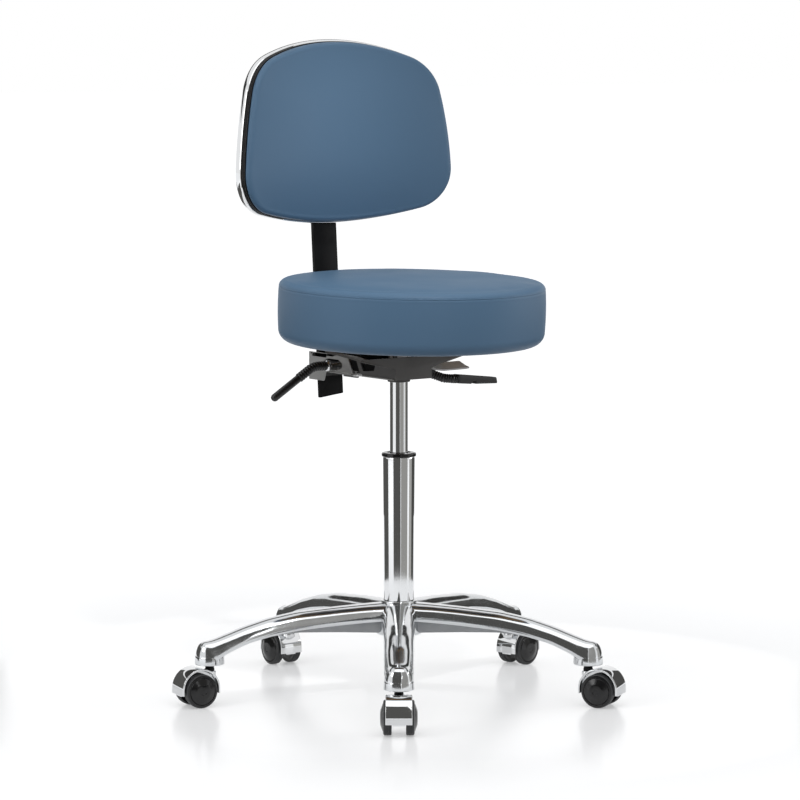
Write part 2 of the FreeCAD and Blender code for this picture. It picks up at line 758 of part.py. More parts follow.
def back_lever():
    rod = tube_along(back_lever_path(), back_lever_rod_radius)
    return rod.fuse(pivot_pin(back_lever_pivot_x, back_lever_y, back_lever_z, back_ear_gap()))


def back_lever_boot():
    return ribbed_sleeve(back_lever_path(), back_boot_start(), back_boot_length, back_boot_radius,
                         back_boot_ribs, back_lever_rod_radius + fixed_fit)


def back_lever_grip():
    """Smooth round grip with a domed end, from the boot to past the rod's tip."""
    path = back_lever_path()
    last = path.Edges[-1]
    tip = last.valueAt(last.LastParameter)
    along = last.tangentAt(last.LastParameter)
    length = path.Length - back_boot_start() - back_boot_length - fixed_fit
    grip = cylinder(back_grip_radius, length, tip - along * length, along)
    dome = Part.makeSphere(back_grip_radius, tip)
    return grip.fuse(dome).cut(tube_along(path, back_lever_rod_radius + fixed_fit))


def tilt_lever_points():
    """From inside the housing out to the left, then down and forward, then along the paddle."""
    low_z = tilt_lever_z - tilt_lever_dip
    front_y = tilt_lever_y - tilt_lever_sweep
    return [Vector(tilt_lever_pivot_x - tilt_lever_rod_radius, tilt_lever_y, tilt_lever_z),
            Vector(tilt_lever_bend_x, tilt_lever_y, tilt_lever_z),
            Vector(paddle_start_x - paddle_socket, front_y, low_z),
            Vector(paddle_tip_x, front_y, low_z - paddle_droop)]


def tilt_lever_path():
    """The rod's part of the lever's line, which ends inside the paddle."""
    points = tilt_lever_points()
    run = (points[3] - points[2]).normalize()
    return rounded_path(points[:3] + [points[2] + run * 2 * paddle_socket], tilt_lever_bend_radius)


def tilt_lever():
    rod = tube_along(tilt_lever_path(), tilt_lever_rod_radius)
    return rod.fuse(pivot_pin(tilt_lever_pivot_x, tilt_lever_y, tilt_lever_z, tilt_ear_gap()))


def tilt_boot_start():
    return housing_half_width + 2 * swing_gap + tilt_lever_rod_radius - tilt_lever_pivot_x


def tilt_lever_boot():
    path = tilt_lever_path()
    length = path.Length - paddle_socket - swing_gap - tilt_boot_start()
    return ribbed_sleeve(path, tilt_boot_start(), length, tilt_boot_radius, tilt_boot_ribs,
                         tilt_lever_rod_radius + fixed_fit)


def tilt_lever_paddle():
    """Flat grip with a notch in its lower edge, pushed on the rod's end."""
    points = tilt_lever_points()
    slope = (points[3].z - points[2].z) / (points[3].x - points[2].x)
    half = paddle_height / 2

    def line_z(x):
        return points[2].z + slope * (x - points[2].x)

    notch_end_x = paddle_notch_x + paddle_notch_width
    outline = [(paddle_start_x, -half), (paddle_notch_x - paddle_notch_depth / 2, -half),
               (paddle_notch_x, paddle_notch_depth - half), (notch_end_x, paddle_notch_depth - half),
               (notch_end_x, -half), (paddle_tip_x, -half), (paddle_tip_x - 2.0, half),
               (paddle_start_x, half)]
    front_y = points[3].y - paddle_thickness / 2
    paddle = plate([Vector(x, 0, line_z(x) + dz) for x, dz in outline], Vector(0, front_y, 0),
                   Vector(0, paddle_thickness, 0))
    return paddle.cut(tube_along(tilt_lever_path(), tilt_lever_rod_radius + fixed_fit))


def height_lever():
    """Bent strip: a blade to the left, a riser by its pivot and a toe above the valve pin."""
    half = height_lever_thickness / 2
    toe_z = cylinder_top_z + valve_rise + valve_touch_gap
    toe_top_z = toe_z + height_lever_thickness
    low_z = height_lever_z - half
    top_z = height_lever_z + half
    riser = height_lever_pivot_x
    outline = [(height_lever_tip_x, top_z), (riser, top_z), (riser, toe_top_z),
               (-height_lever_toe, toe_top_z), (-height_lever_toe, toe_z),
               (riser - height_lever_thickness, toe_z),
               (riser - height_lever_thickness, low_z), (height_lever_tip_x - height_lever_thickness, low_z),
               (height_lever_tip_x - height_lever_thickness, top_z - height_lever_lip),
               (height_lever_tip_x, top_z - height_lever_lip)]
    front_y = height_lever_y - height_lever_width / 2
    strip = plate([Vector(x, 0, z) for x, z in outline], Vector(0, front_y, 0),
                  Vector(0, height_lever_width, 0))
    return strip.fuse(pivot_pin(height_lever_pivot_x, height_lever_y, height_lever_z, height_ear_gap()))


def pitched(shape):
    """Pitch a level seat piece forward about the tilt axle."""
    return shape.rotated(Vector(0, tilt_axle_y, tilt_axle_z), EAST, seat_pitch_deg)


def seat_bolt_places():
    reach_x = seat_plate_width / 2 - seat_bolt_inset
    reach_y = seat_plate_length / 2 - seat_bolt_inset
    return [Vector(sx * reach_x, sy * reach_y - seat_forward, 0) for sx in (-1, 1) for sy in (-1, 1)]


def seat_plate():
    """Flat plate under the seat board, with two ears down to the tilt axle."""
    half_x = seat_plate_width / 2
    half_y = seat_plate_length / 2
    bottom_z = seat_bottom_z - sheet
    body = block(-half_x, half_x, -seat_forward - half_y, -seat_forward + half_y, bottom_z, seat_bottom_z)
    ear = [(tilt_axle_y - ear_radius, bottom_z + sheet / 2),
           (tilt_axle_y - ear_radius / 2, tilt_axle_z - ear_radius),
           (tilt_axle_y + ear_radius / 2, tilt_axle_z - ear_radius),
           (tilt_axle_y + ear_radius, bottom_z + sheet / 2)]
    ears = [side_plate(ear, side * arm_outer_x()) for side in (-1, 1)]
    axle_end = Vector(-half_x, tilt_axle_y, tilt_axle_z)
    cutters = [cylinder(tilt_axle_radius + running_fit, 2 * half_x, axle_end, EAST)]
    cutters += [cylinder(seat_bolt_radius + fixed_fit, sheet, place + UP * bottom_z)
                for place in seat_bolt_places()]
    return pitched(body.multiFuse(ears).cut(cutters))


def seat_bolts():
    """Four round-headed bolts from under the seat plate up into the board."""
    bolts = []
    head_top_z = seat_bottom_z - sheet
    for place in seat_bolt_places():
        head = cylinder(seat_bolt_head_radius, seat_bolt_head, place + UP * (head_top_z - seat_bolt_head))
        shank = cylinder(seat_bolt_radius, sheet + seat_board_thickness, place + UP * head_top_z)
        bolts.append(head.fuse(shank))
    return pitched(Part.makeCompound(bolts))


def seat_board():
    board = cylinder(seat_board_radius, seat_board_thickness, Vector(0, -seat_forward, seat_bottom_z))
    holes = [cylinder(seat_bolt_radius + fixed_fit, seat_board_thickness, place + UP * seat_bottom_z)
             for place in seat_bolt_places()]
    return pitched(board.cut(holes))


def seat_cushion():
    """Round cushion turned from lines and arcs: full side drawn in at both edges, and a crowned top."""
    edge_top_z = seat_bottom_z + seat_edge_height
    waist_z = seat_bottom_z + seat_edge_height / 2
    corner = math.sqrt(0.5)

    def at(radius, z):
        return Vector(radius, 0, z)

    rim = seat_radius - seat_side_bulge
    low = at(rim, seat_bottom_z + seat_bottom_round)
    high = at(rim, edge_top_z - seat_top_round)
    shoulder = at(rim - seat_top_round, edge_top_z)
    foot = at(rim - seat_bottom_round, seat_bottom_z)
    crown_radius = (shoulder.x ** 2 + seat_crown ** 2) / (2 * seat_crown)
    crown_angle = math.asin(shoulder.x / crown_radius) / 2
    crown_centre_z = edge_top_z + seat_crown - crown_radius
    top = at(0, edge_top_z + seat_crown)
    crown_middle = at(crown_radius * math.sin(crown_angle),
                      crown_centre_z + crown_radius * math.cos(crown_angle))
    low_middle = at(rim - seat_bottom_round * (1 - corner), seat_bottom_z + seat_bottom_round * (1 - corner))
    high_middle = at(rim - seat_top_round * (1 - corner), edge_top_z - seat_top_round * (1 - corner))
    outline = Part.Wire([
        Part.makeLine(at(0, seat_bottom_z), foot), Part.Arc(foot, low_middle, low).toShape(),
        Part.Arc(low, at(seat_radius, waist_z), high).toShape(),
        Part.Arc(high, high_middle, shoulder).toShape(), Part.Arc(shoulder, crown_middle, top).toShape(),
        Part.makeLine(top, at(0, seat_bottom_z))])
    cushion = Part.Face(outline).revolve(Vector(0, 0, 0), UP, 360).translated(Vector(0, -seat_forward, 0))
    recess = cylinder(seat_board_radius + soft_gap, seat_board_thickness + soft_gap,
                      Vector(0, -seat_forward, seat_bottom_z))
    return pitched(cushion.cut(recess))


def reclined(shape):
    """Lean a backrest layer with the bar, but stood up a little about the middle of its bracket."""
    middle = Vector(0, bar_y - back_setback, bar_top_z - back_plate_height / 2)
    return leaned(shape.rotated(middle, EAST, back_upright_deg))


def backrest_prism(inset, front_y, rear_y):
    """The backrest's outline, drawn in by inset and carried from front_y to rear_y."""
    wide = back_half_width - inset
    narrow = back_shoulder_half_width - inset
    low = back_bottom_z + inset
    high = back_top_z - inset
    bottom_left = Vector(-wide, front_y, low + back_bottom_arch)
    bottom_right = Vector(wide, front_y, low + back_bottom_arch)
    top_left = Vector(-narrow, front_y, high - back_top_arch)
    top_right = Vector(narrow, front_y, high - back_top_arch)
    middle_x = (wide + narrow) / 2 + back_side_bulge
    middle_z = (bottom_left.z + top_left.z) / 2
    outline = Part.Wire([
        Part.Arc(bottom_left, Vector(0, front_y, low), bottom_right).toShape(),
        Part.Arc(bottom_right, Vector(middle_x, front_y, middle_z), top_right).toShape(),
        Part.Arc(top_right, Vector(0, front_y, high), top_left).toShape(),
        Part.Arc(top_left, Vector(-middle_x, front_y, middle_z), bottom_left).toShape()])
    prism = Part.Face(outline).extrude(Vector(0, rear_y - front_y, 0))
    prism = prism.makeFillet(back_top_corner - inset,
                             [e for e in deep_edges(prism) if e.CenterOfMass.z > middle_z])
    return prism.makeFillet(back_bottom_corner - inset,
                            [e for e in deep_edges(prism) if e.CenterOfMass.z < low + 1.5 * back_bottom_arch])


def deep_edges(prism):
    """The edges of a prism that run front to back."""
    return [e for e in prism.Edges if abs(e.tangentAt(e.FirstParameter).y) > 0.9]


def wrap_layer(inset, near, far):
    """A slab of the backrest between two depths, wrapped about a vertical axis in front of it."""
    axis_y = bar_y - back_setback - back_wrap_radius
    foot = Vector(0, axis_y, back_bottom_z - back_bottom_arch)
    height = back_top_z - back_bottom_z + 2 * back_top_arch
    shell = ring(back_wrap_radius + far, back_wrap_radius + near, height, foot)
    prism = backrest_prism(inset, bar_y - back_setback - back_half_width, bar_y + back_half_width)
    return prism.common(shell)


def gasket_near():
    return -trim_width / 2 - gasket_width


def backrest_trim():
    layer = wrap_layer(0.0, -trim_width / 2, trim_width / 2)
    return reclined(layer.cut(wrap_layer(trim_depth, -trim_width, trim_width)))


def back_screw_places():
    """Four screw centres (x, z) on the backrest bracket."""
    reach_x = back_plate_width / 2 - 2 * back_screw_head_radius
    reach_z = back_plate_height / 2 - 2 * back_screw_head_radius
    middle_z = bar_top_z - back_plate_height / 2
    return [(sx * reach_x, middle_z + sz * reach_z) for sx in (-1, 1) for sz in (-1, 1)]


def screw_bores(radius, y0, y1):
    return [leaned(cylinder(radius, y1 - y0, Vector(x, y0, z), NORTH)) for x, z in back_screw_places()]


def shell_rear_y():
    return bar_y - bar_thickness / 2 - back_plate_thickness


def backrest_shell():
    """Curved back shell inside the trim, with a boss behind it that meets the backrest bracket."""
    panel = wrap_layer(trim_depth + trim_gap, -trim_width / 2, trim_width / 2 - trim_gap)
    half = back_plate_width / 2
    boss = block(-half, half, bar_y - back_setback, shell_rear_y(), bar_top_z - back_plate_height, bar_top_z)
    bores = screw_bores(back_screw_radius + fixed_fit, bar_y - 2 * back_setback, bar_y)
    return reclined(panel).fuse(leaned(boss)).cut(bores)


def backrest_gasket():
    layer = wrap_layer(gasket_inset, gasket_near(), -trim_width / 2)
    inside = wrap_layer(gasket_inset + 2 * trim_depth, gasket_near() - 1, -trim_width / 2 + 1)
    return reclined(layer.cut(inside))


def backrest_board():
    layer = wrap_layer(gasket_inset + 2 * trim_depth + trim_gap, gasket_near(), -trim_width / 2)
    bores = screw_bores(back_screw_radius + fixed_fit, bar_y - 2 * back_setback, bar_y)
    return reclined(layer).cut(bores)


def backrest_pad():
    """Pad in front of the board: thick in the middle, thinner and rounded at its rim."""
    rear = gasket_near() - soft_gap
    body = wrap_layer(pad_inset, rear - pad_crown - back_half_width / 4, rear)
    edge_sag = back_wrap_radius - math.sqrt(back_wrap_radius ** 2 - back_half_width ** 2)
    front_sag = edge_sag - (pad_crown - pad_edge_depth)
    front_radius = (back_half_width ** 2 + front_sag ** 2) / (2 * front_sag)
    front_y = bar_y - back_setback + rear - pad_crown
    height = back_top_z - back_bottom_z + 2 * back_top_arch
    hollow_foot = Vector(0, front_y - front_radius, back_bottom_z - back_bottom_arch)
    hollow = cylinder(front_radius, height, hollow_foot)
    pad = body.cut(hollow)
    rim = [e for e in pad.Edges if is_front_edge(e, front_radius, front_y)]
    return reclined(pad.makeFillet(pad_rim_round, rim))


def is_front_edge(edge, radius, front_y):
    """True for an edge that lies on the pad's front face."""
    for point in edge.discretize(5):
        reach = math.hypot(point.x, point.y - front_y + radius)
        if abs(reach - radius) > 0.01:
            return False
    return True


def backrest_bracket():
    half = back_plate_width / 2
    near_y = shell_rear_y()
    body = block(-half, half, near_y, near_y + back_plate_thickness, bar_top_z - back_plate_height, bar_top_z)
    bores = screw_bores(back_screw_radius + fixed_fit, shell_rear_y(), bar_y)
    return leaned(body).cut(bores)


def backrest_screws():
    """Four screws from the bracket through the shell into the board."""
    head_y = shell_rear_y() + back_plate_thickness
    tip_y = bar_y - back_setback + gasket_near() + back_board_thickness / 4
    screws = []
    for x, z in back_screw_places():
        head = cylinder(back_screw_head_radius, back_screw_head, Vector(x, head_y, z), NORTH)
        screws.append(head.fuse(cylinder(back_screw_radius, head_y - tip_y, Vector(x, tip_y, z), NORTH)))
    return leaned(Part.makeCompound(screws))


def all_pieces():
    pieces = casters()
    for make in (star_base, column_tube, guide_bush, thrust_bearing, piston_rod, rod_clip, piston,
                 gas_cylinder, valve_pin, taper_socket, mechanism_housing, tilt_axle, back_axle, seat_plate,
                 seat_board, seat_bolts, seat_cushion, height_lever, tilt_lever, tilt_lever_boot,
                 tilt_lever_paddle, back_lever, back_lever_boot, back_lever_grip, back_bracket, bar_guide,
                 tension_knob, back_bar, backrest_bracket, backrest_shell, backrest_trim, backrest_gasket,
                 backrest_board, backrest_pad, backrest_screws):
        pieces[make.__name__] = make()
    return pieces


def main():
    os.makedirs("parts", exist_ok=True)
    for name, shape in all_pieces().items():
        if not shape.isValid():
            print("not valid:", name)
        shape.exportStep("parts/%s.step" % name)


main()
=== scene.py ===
"""Dressed clinic stool: upholstery, polished metal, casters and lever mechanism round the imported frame."""
import json
import math

import bmesh
import bpy
import numpy as np
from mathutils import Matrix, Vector


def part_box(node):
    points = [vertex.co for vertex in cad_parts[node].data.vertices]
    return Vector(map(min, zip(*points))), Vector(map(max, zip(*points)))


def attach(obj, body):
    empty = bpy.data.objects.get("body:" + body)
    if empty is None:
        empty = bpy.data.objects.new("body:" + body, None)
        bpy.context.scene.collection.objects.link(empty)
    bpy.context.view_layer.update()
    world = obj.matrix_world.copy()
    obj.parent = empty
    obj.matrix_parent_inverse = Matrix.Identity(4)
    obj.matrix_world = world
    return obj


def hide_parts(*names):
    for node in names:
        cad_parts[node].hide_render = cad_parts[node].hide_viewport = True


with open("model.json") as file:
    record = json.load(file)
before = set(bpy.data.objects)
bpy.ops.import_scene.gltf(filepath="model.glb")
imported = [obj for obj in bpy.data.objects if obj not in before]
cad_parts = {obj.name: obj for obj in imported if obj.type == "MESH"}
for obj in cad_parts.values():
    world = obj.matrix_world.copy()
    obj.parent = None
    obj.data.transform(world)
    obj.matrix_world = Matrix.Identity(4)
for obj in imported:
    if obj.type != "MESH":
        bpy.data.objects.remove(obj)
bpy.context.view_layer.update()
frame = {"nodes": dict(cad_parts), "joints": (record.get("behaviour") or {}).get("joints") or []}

bl_info = {
    "name": "Clinic stool dressing",
    "version": (1, 0, 0),
    "blender": (4, 5, 0),
    "location": "View3D > Sidebar > Stool",
    "description": "Builds the visible pieces of a clinic stool round its construction frame",
    "category": "Object",
}

LEGS = 5
JOINTS = {joint["name"]: joint for joint in frame["joints"]}
# Lean of the seat, of the bar and of the backrest against the bar, in degrees, with what they turn about
SEAT_PITCH = 1.6
BAR_LEAN = -3.9
BAR_PIVOT = (0.0, 0.183, 0.500)
BACK_UPRIGHT = 4.0
BACK_PIVOT = (0.0, 0.1615, 0.845)
# The upright cylinder that the backrest wraps round
WRAP_RADIUS = 0.510
WRAP_AXIS_Y = BACK_PIVOT[1] - WRAP_RADIUS
# Cloth filling of the upholstery
FILL_VOXEL = 0.006
FILL_PRESSURE = 4.0
FILL_FRAMES = 20
SEAT_FILL_CAP = 0.002
PAD_FILL_CAP = 0.004
# Camera back
SENSOR_WIDTH = 36.0
FRAME_PIXELS = 800.0


def joint_place(name):
    """A joint's place, in metres."""
    return np.array(JOINTS[name]["pos_m"], float)


def joint_axis(name):
    """The direction of a joint's axis."""
    return np.array(JOINTS[name]["axis"], float)


def low(node):
    """Lowest corner of a construction piece's box."""
    return np.array(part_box(node)[0])


def high(node):
    """Highest corner of a construction piece's box."""
    return np.array(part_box(node)[1])


class StoolSizes(bpy.types.PropertyGroup):
    """Sizes of the visible pieces that a user may change."""
    seat_top_round: bpy.props.FloatProperty(
        name="Seat top edge", description="Rounding of the seat's top edge", default=0.012, unit="LENGTH")
    seat_bottom_round: bpy.props.FloatProperty(
        name="Seat bottom edge", description="Rounding of the seat's bottom edge", default=0.020,
        unit="LENGTH")
    seat_crown: bpy.props.FloatProperty(
        name="Seat crown", description="Rise of the seat's top from edge to middle", default=0.004,
        unit="LENGTH")
    welt: bpy.props.FloatProperty(
        name="Welt", description="Radius of the sewn edge between top panel and band", default=0.0009,
        unit="LENGTH")
    edge_break: bpy.props.FloatProperty(
        name="Edge break", description="Bevel on pressed steel and moulded edges", default=0.0006,
        unit="LENGTH")


class StoolColours(bpy.types.PropertyGroup):
    """Colours of the finishes."""
    vinyl: bpy.props.FloatVectorProperty(
        name="Vinyl", description="Upholstery colour", subtype="COLOR", default=(0.087, 0.165, 0.263))
    steel_dark: bpy.props.FloatVectorProperty(
        name="Dark steel", description="Coated steel of the mechanism", subtype="COLOR",
        default=(0.080, 0.078, 0.076))
    steel_grey: bpy.props.FloatVectorProperty(
        name="Grey steel", description="Coated steel of the rear bracket", subtype="COLOR",
        default=(0.36, 0.36, 0.352))
    plastic: bpy.props.FloatVectorProperty(
        name="Black plastic", description="Moulded plastic", subtype="COLOR", default=(0.006, 0.006, 0.0065))
    rubber: bpy.props.FloatVectorProperty(
        name="Black rubber", description="Lever boots and grips", subtype="COLOR",
        default=(0.006, 0.006, 0.0065))
    tread: bpy.props.FloatVectorProperty(
        name="Tread", description="Caster treads", subtype="COLOR", default=(0.036, 0.037, 0.039))


class StudioSettings(bpy.types.PropertyGroup):
    """Where the camera stands and how bright the studio is."""
    azimuth: bpy.props.FloatProperty(
        name="Azimuth", description="Turn of the camera round the column", default=math.radians(-37.0),
        subtype="ANGLE")
    pitch: bpy.props.FloatProperty(
        name="Pitch", description="Downward tilt of the camera", default=math.radians(6.06), subtype="ANGLE")
    distance: bpy.props.FloatProperty(
        name="Distance", description="From the column's axis to the camera", default=5.5, unit="LENGTH")
    height: bpy.props.FloatProperty(
        name="Height", description="Camera height", default=1.044, unit="LENGTH")
    focal_pixels: bpy.props.FloatProperty(
        name="Focal length", description="Focal length in pixels of an 800 pixel frame", default=3575.0)
    shift: bpy.props.FloatProperty(
        name="Shift", description="Sideways shift of the frame", default=0.0014)
    key_power: bpy.props.FloatProperty(
        name="Key light", description="Power that each softbox and spot is a multiple of", default=14.0,
        subtype="POWER")


def rounded(corners, steps=6):
    """Open outline through (a, b, radius) corners, each with a radius made an arc tangent to both runs."""
    corners = np.array(corners, float)
    spots = corners[:, :2]
    out = [spots[:1]]
    for i in range(1, len(corners) - 1):
        before = spots[i - 1] - spots[i]
        after = spots[i + 1] - spots[i]
        size = np.linalg.norm(before), np.linalg.norm(after)
        before, after = before / size[0], after / size[1]
        half = math.acos(np.clip(before @ after, -1, 1)) / 2
        radius = min(corners[i, 2], 0.49 * min(size) * math.tan(half))
        if radius <= 0 or half > 1.55:
            out.append(spots[i:i + 1])
            continue
        middle = (before + after) / np.linalg.norm(before + after)
        centre = spots[i] + middle * radius / math.sin(half)
        start = spots[i] + before * radius / math.tan(half) - centre
        end = spots[i] + after * radius / math.tan(half) - centre
        t = np.linspace(0, 1, steps)[:, None]
        angle = math.acos(np.clip(start @ end / radius ** 2, -1, 1))
        arc = (np.sin((1 - t) * angle) * start + np.sin(t * angle) * end) / math.sin(angle)
        out.append(centre + arc)
    out.append(spots[-1:])
    return np.concatenate(out)


def grid_faces(rows, cols, wrap_rows=False, wrap_cols=False):
    """Corner indices of the quads of a rows by cols grid of points, joined round where it wraps."""
    r, c = np.meshgrid(np.arange(rows - (not wrap_rows)), np.arange(cols - (not wrap_cols)), indexing="ij")
    r2, c2 = (r + 1) % rows, (c + 1) % cols
    return np.stack([r * cols + c, r * cols + c2, r2 * cols + c2, r2 * cols + c], -1).reshape(-1, 4)


def surface(points, wrap_rows=False, wrap_cols=False, bands=None):
    """A grid of points as (points, quads, finish of each quad), with bands as the finishes along a row."""
    rows, cols = points.shape[:2]
    quads = grid_faces(rows, cols, wrap_rows, wrap_cols)
    steps = cols if wrap_cols else cols - 1
    if bands is None:
        finish = np.zeros(len(quads), int)
    else:
        finish = np.tile(np.resize(bands, steps), len(quads) // steps)
    return points.reshape(-1, 3), quads, finish


def turned(profile, segments=96, bands=None):
    """A (radius, height) outline turned about Z: x = r cos a, y = r sin a, z = h."""
    angle = np.linspace(0, 2 * np.pi, segments, endpoint=False)
    ring = np.stack([np.cos(angle), np.sin(angle)], -1)
    points = np.empty((segments, len(profile), 3))
    points[..., :2] = ring[:, None, :] * profile[None, :, :1]
    points[..., 2] = profile[None, :, 1]
    return surface(points, wrap_rows=True, bands=bands)


def smooth(row, passes):
    """Running mean of three, repeated, with the ends held."""
    for _ in range(passes):
        row = np.concatenate([row[:1], (row[:-2] + row[1:-1] + row[2:]) / 3, row[-1:]])
    return row


def unit(rows):
    """Rows scaled to length one."""
    return rows / np.linalg.norm(rows, axis=1, keepdims=True)


def round_trip(loop):
    """Direction of a closed loop at each point, from the point before to the point after."""
    return np.roll(loop, -1, 0) - np.roll(loop, 1, 0)


def square_to(side, ahead):
    """Unit rows of side made square to the unit rows of ahead."""
    return unit(side - ahead * np.sum(side * ahead, 1, keepdims=True))


def carried(path, profile, side, grow=None, closed=False):
    """A closed (across, out) outline carried along a path; side is the steady direction across it.

    Each point is path + across * (side made square to the path) + out * (their cross product), times grow.
    """
    ahead = unit(round_trip(path) if closed else np.gradient(path, axis=0))
    across = square_to(np.broadcast_to(np.asarray(side, float), path.shape), ahead)
    out = np.cross(ahead, across)
    scale = np.ones(len(path)) if grow is None else np.asarray(grow, float)
    offset = profile[None, :, :1] * across[:, None] + profile[None, :, 1:2] * out[:, None]
    points = path[:, None] + offset * scale[:, None, None]
    return surface(points, wrap_rows=closed, wrap_cols=True)


def capped(path, profile, side, grow=None):
    """A carried outline with both ends closed to a point on the path."""
    scale = np.ones(len(path)) if grow is None else np.asarray(grow, float)
    path = np.concatenate([path[:1], path, path[-1:]])
    nudge = (path[2] - path[1]) * 1e-5
    path[0], path[-1] = path[0] - nudge, path[-1] + nudge
    return carried(path, profile, side, np.concatenate([[0], scale, [0]]))


def slab(outline, axis_low, axis_high, ease, lift):
    """A star-shaped outline between two levels: rows shrink to the middle of each face, with eased edges."""
    centre = outline.mean(0)
    reach = np.linalg.norm(outline - centre, axis=1, keepdims=True)
    inner = centre + (outline - centre) * (1 - ease / reach)
    rows = [(np.broadcast_to(centre, outline.shape), axis_low), (inner, axis_low), (outline, axis_low + ease),
            (outline, axis_high - ease), (inner, axis_high),
            (np.broadcast_to(centre, outline.shape), axis_high)]
    points = np.stack([lift(flat, level) for flat, level in rows], 1)
    return surface(points, wrap_rows=True)


def upright(flat, level):
    """Points (x, z) set upright at a level of y."""
    return np.stack([flat[:, 0], np.full(len(flat), level), flat[:, 1]], -1)


def sideways(flat, level):
    """Points (y, z) set upright at a level of x."""
    return np.stack([np.full(len(flat), level), flat[:, 0], flat[:, 1]], -1)


def circle(radius, count=24):
    """Evenly spaced points of a circle about the origin."""
    angle = np.linspace(0, 2 * np.pi, count, endpoint=False)
    return radius * np.stack([np.cos(angle), np.sin(angle)], -1)


def box_outline(width, depth, radius, steps=5):
    """Closed rounded rectangle about the origin."""
    w, d = width / 2, depth / 2
    loop = rounded([(0, -d, 0), (w, -d, radius), (w, d, radius), (-w, d, radius), (-w, -d, radius),
                    (0, -d, 0)], steps)
    return loop[:-1]


def placed(shape, matrix, origin):
    """A surface turned by a 3 by 3 matrix whose columns are its new axes, and moved to an origin."""
    points, quads, finish = shape
    return points @ np.asarray(matrix).T + np.asarray(origin), quads, finish


def piece(name, shapes, finishes, body, stands_for=(), crease=None):
    """Join surfaces into one smooth mesh object on a body, in place of the nodes it stands for."""
    points = np.concatenate([shape[0] for shape in shapes])
    starts = np.cumsum([0] + [len(shape[0]) for shape in shapes[:-1]])
    quads = np.concatenate([shape[1] + start for shape, start in zip(shapes, starts)])
    mesh = bpy.data.meshes.new(name)
    mesh.from_pydata(points, [], quads)
    for finish in finishes:
        mesh.materials.append(finish)
    mesh.polygons.foreach_set("material_index",
                              np.concatenate([shape[2] for shape in shapes]).astype(np.int32))
    close_up(mesh)
    mesh.shade_smooth()
    if crease:
        mesh.set_sharp_from_angle(angle=math.radians(crease))
    return settle(bpy.data.objects.new(name, mesh), body, stands_for)


def close_up(mesh):
    """Merge doubled points at poles and seams, and turn every face outwards."""
    work = bmesh.new()
    work.from_mesh(mesh)
    bmesh.ops.remove_doubles(work, verts=work.verts, dist=1e-6)
    bmesh.ops.dissolve_degenerate(work, edges=work.edges, dist=1e-7)
    bmesh.ops.recalc_face_normals(work, faces=work.faces)
    work.to_mesh(mesh)
    work.free()


def settle(item, body, stands_for):
    """Link a finished object, let it ride on its body and hide the nodes that it stands for."""
    bpy.context.scene.collection.objects.link(item)
    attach(item, body)
    if stands_for:
        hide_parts(*stands_for)
    return item


def eased(node, finish, body, width):
    """A copy of a construction piece with merged corners and a small bevel along its sharp edges."""
    mesh = frame["nodes"][node].data.copy()
    mesh.name = node + "_eased"
    mesh.materials.clear()
    mesh.materials.append(finish)
    close_up(mesh)
    mesh.shade_smooth()
    mesh.set_sharp_from_angle(angle=math.radians(30))
    item = settle(bpy.data.objects.new(node + "_eased", mesh), body, [node])
    bevel = item.modifiers.new("edge break", "BEVEL")
    bevel.width = width
    bevel.segments = 2
    bevel.limit_method = "ANGLE"
    bevel.angle_limit = math.radians(35)
    bevel.harden_normals = True
    return item


def swollen(item, held, cap):
    """Fill a closed skin: an evenly remeshed copy swells as cloth under pressure and the skin follows it.

    held(points, normals) marks the points of the copy that stay put; no point of the skin moves beyond cap.
    """
    scene = bpy.context.scene
    cage = bpy.data.objects.new("filling", item.data.copy())
    scene.collection.objects.link(cage)
    even = cage.modifiers.new("even", "REMESH")
    even.mode = "VOXEL"
    even.voxel_size = FILL_VOXEL
    cage.data = bpy.data.meshes.new_from_object(cage.evaluated_get(bpy.context.evaluated_depsgraph_get()))
    cage.modifiers.clear()
    group = cage.vertex_groups.new(name="held")
    still = held(vertex_rows(cage.data, "co"), vertex_rows(cage.data, "normal"))
    group.add(np.flatnonzero(still).tolist(), 1.0, "REPLACE")
    cloth = cage.modifiers.new("fill", "CLOTH")
    cloth.settings.use_pressure = True
    cloth.settings.uniform_pressure_force = FILL_PRESSURE
    cloth.settings.vertex_group_mass = "held"
    cloth.settings.effector_weights.gravity = 0.0
    ironed = cage.modifiers.new("ironed", "SMOOTH")
    ironed.factor = 0.5
    ironed.iterations = 12
    follow = item.modifiers.new("follow", "SURFACE_DEFORM")
    follow.target = cage
    scene.frame_set(1)
    with bpy.context.temp_override(object=item, active_object=item):
        bpy.ops.object.surfacedeform_bind(modifier=follow.name)
    if not follow.is_bound:
        raise RuntimeError("the skin of %s could not follow its filling" % item.name)
    for frame_number in range(1, FILL_FRAMES + 1):
        scene.frame_set(frame_number)
    start = vertex_rows(item.data, "co")
    move = vertex_rows(item.evaluated_get(bpy.context.evaluated_depsgraph_get()).data, "co") - start
    length = np.linalg.norm(move, axis=1, keepdims=True)
    move *= cap * np.tanh(length / cap) / np.maximum(length, 1e-9)
    item.data.vertices.foreach_set("co", (start + move).ravel())
    item.data.update()
    item.modifiers.remove(follow)
    bpy.data.objects.remove(cage)
    scene.frame_set(1)


def vertex_rows(mesh, attribute):
    """A mesh's vertex positions or normals as rows."""
    rows = np.empty(3 * len(mesh.vertices))
    mesh.vertices.foreach_get(attribute, rows)
    return rows.reshape(-1, 3)


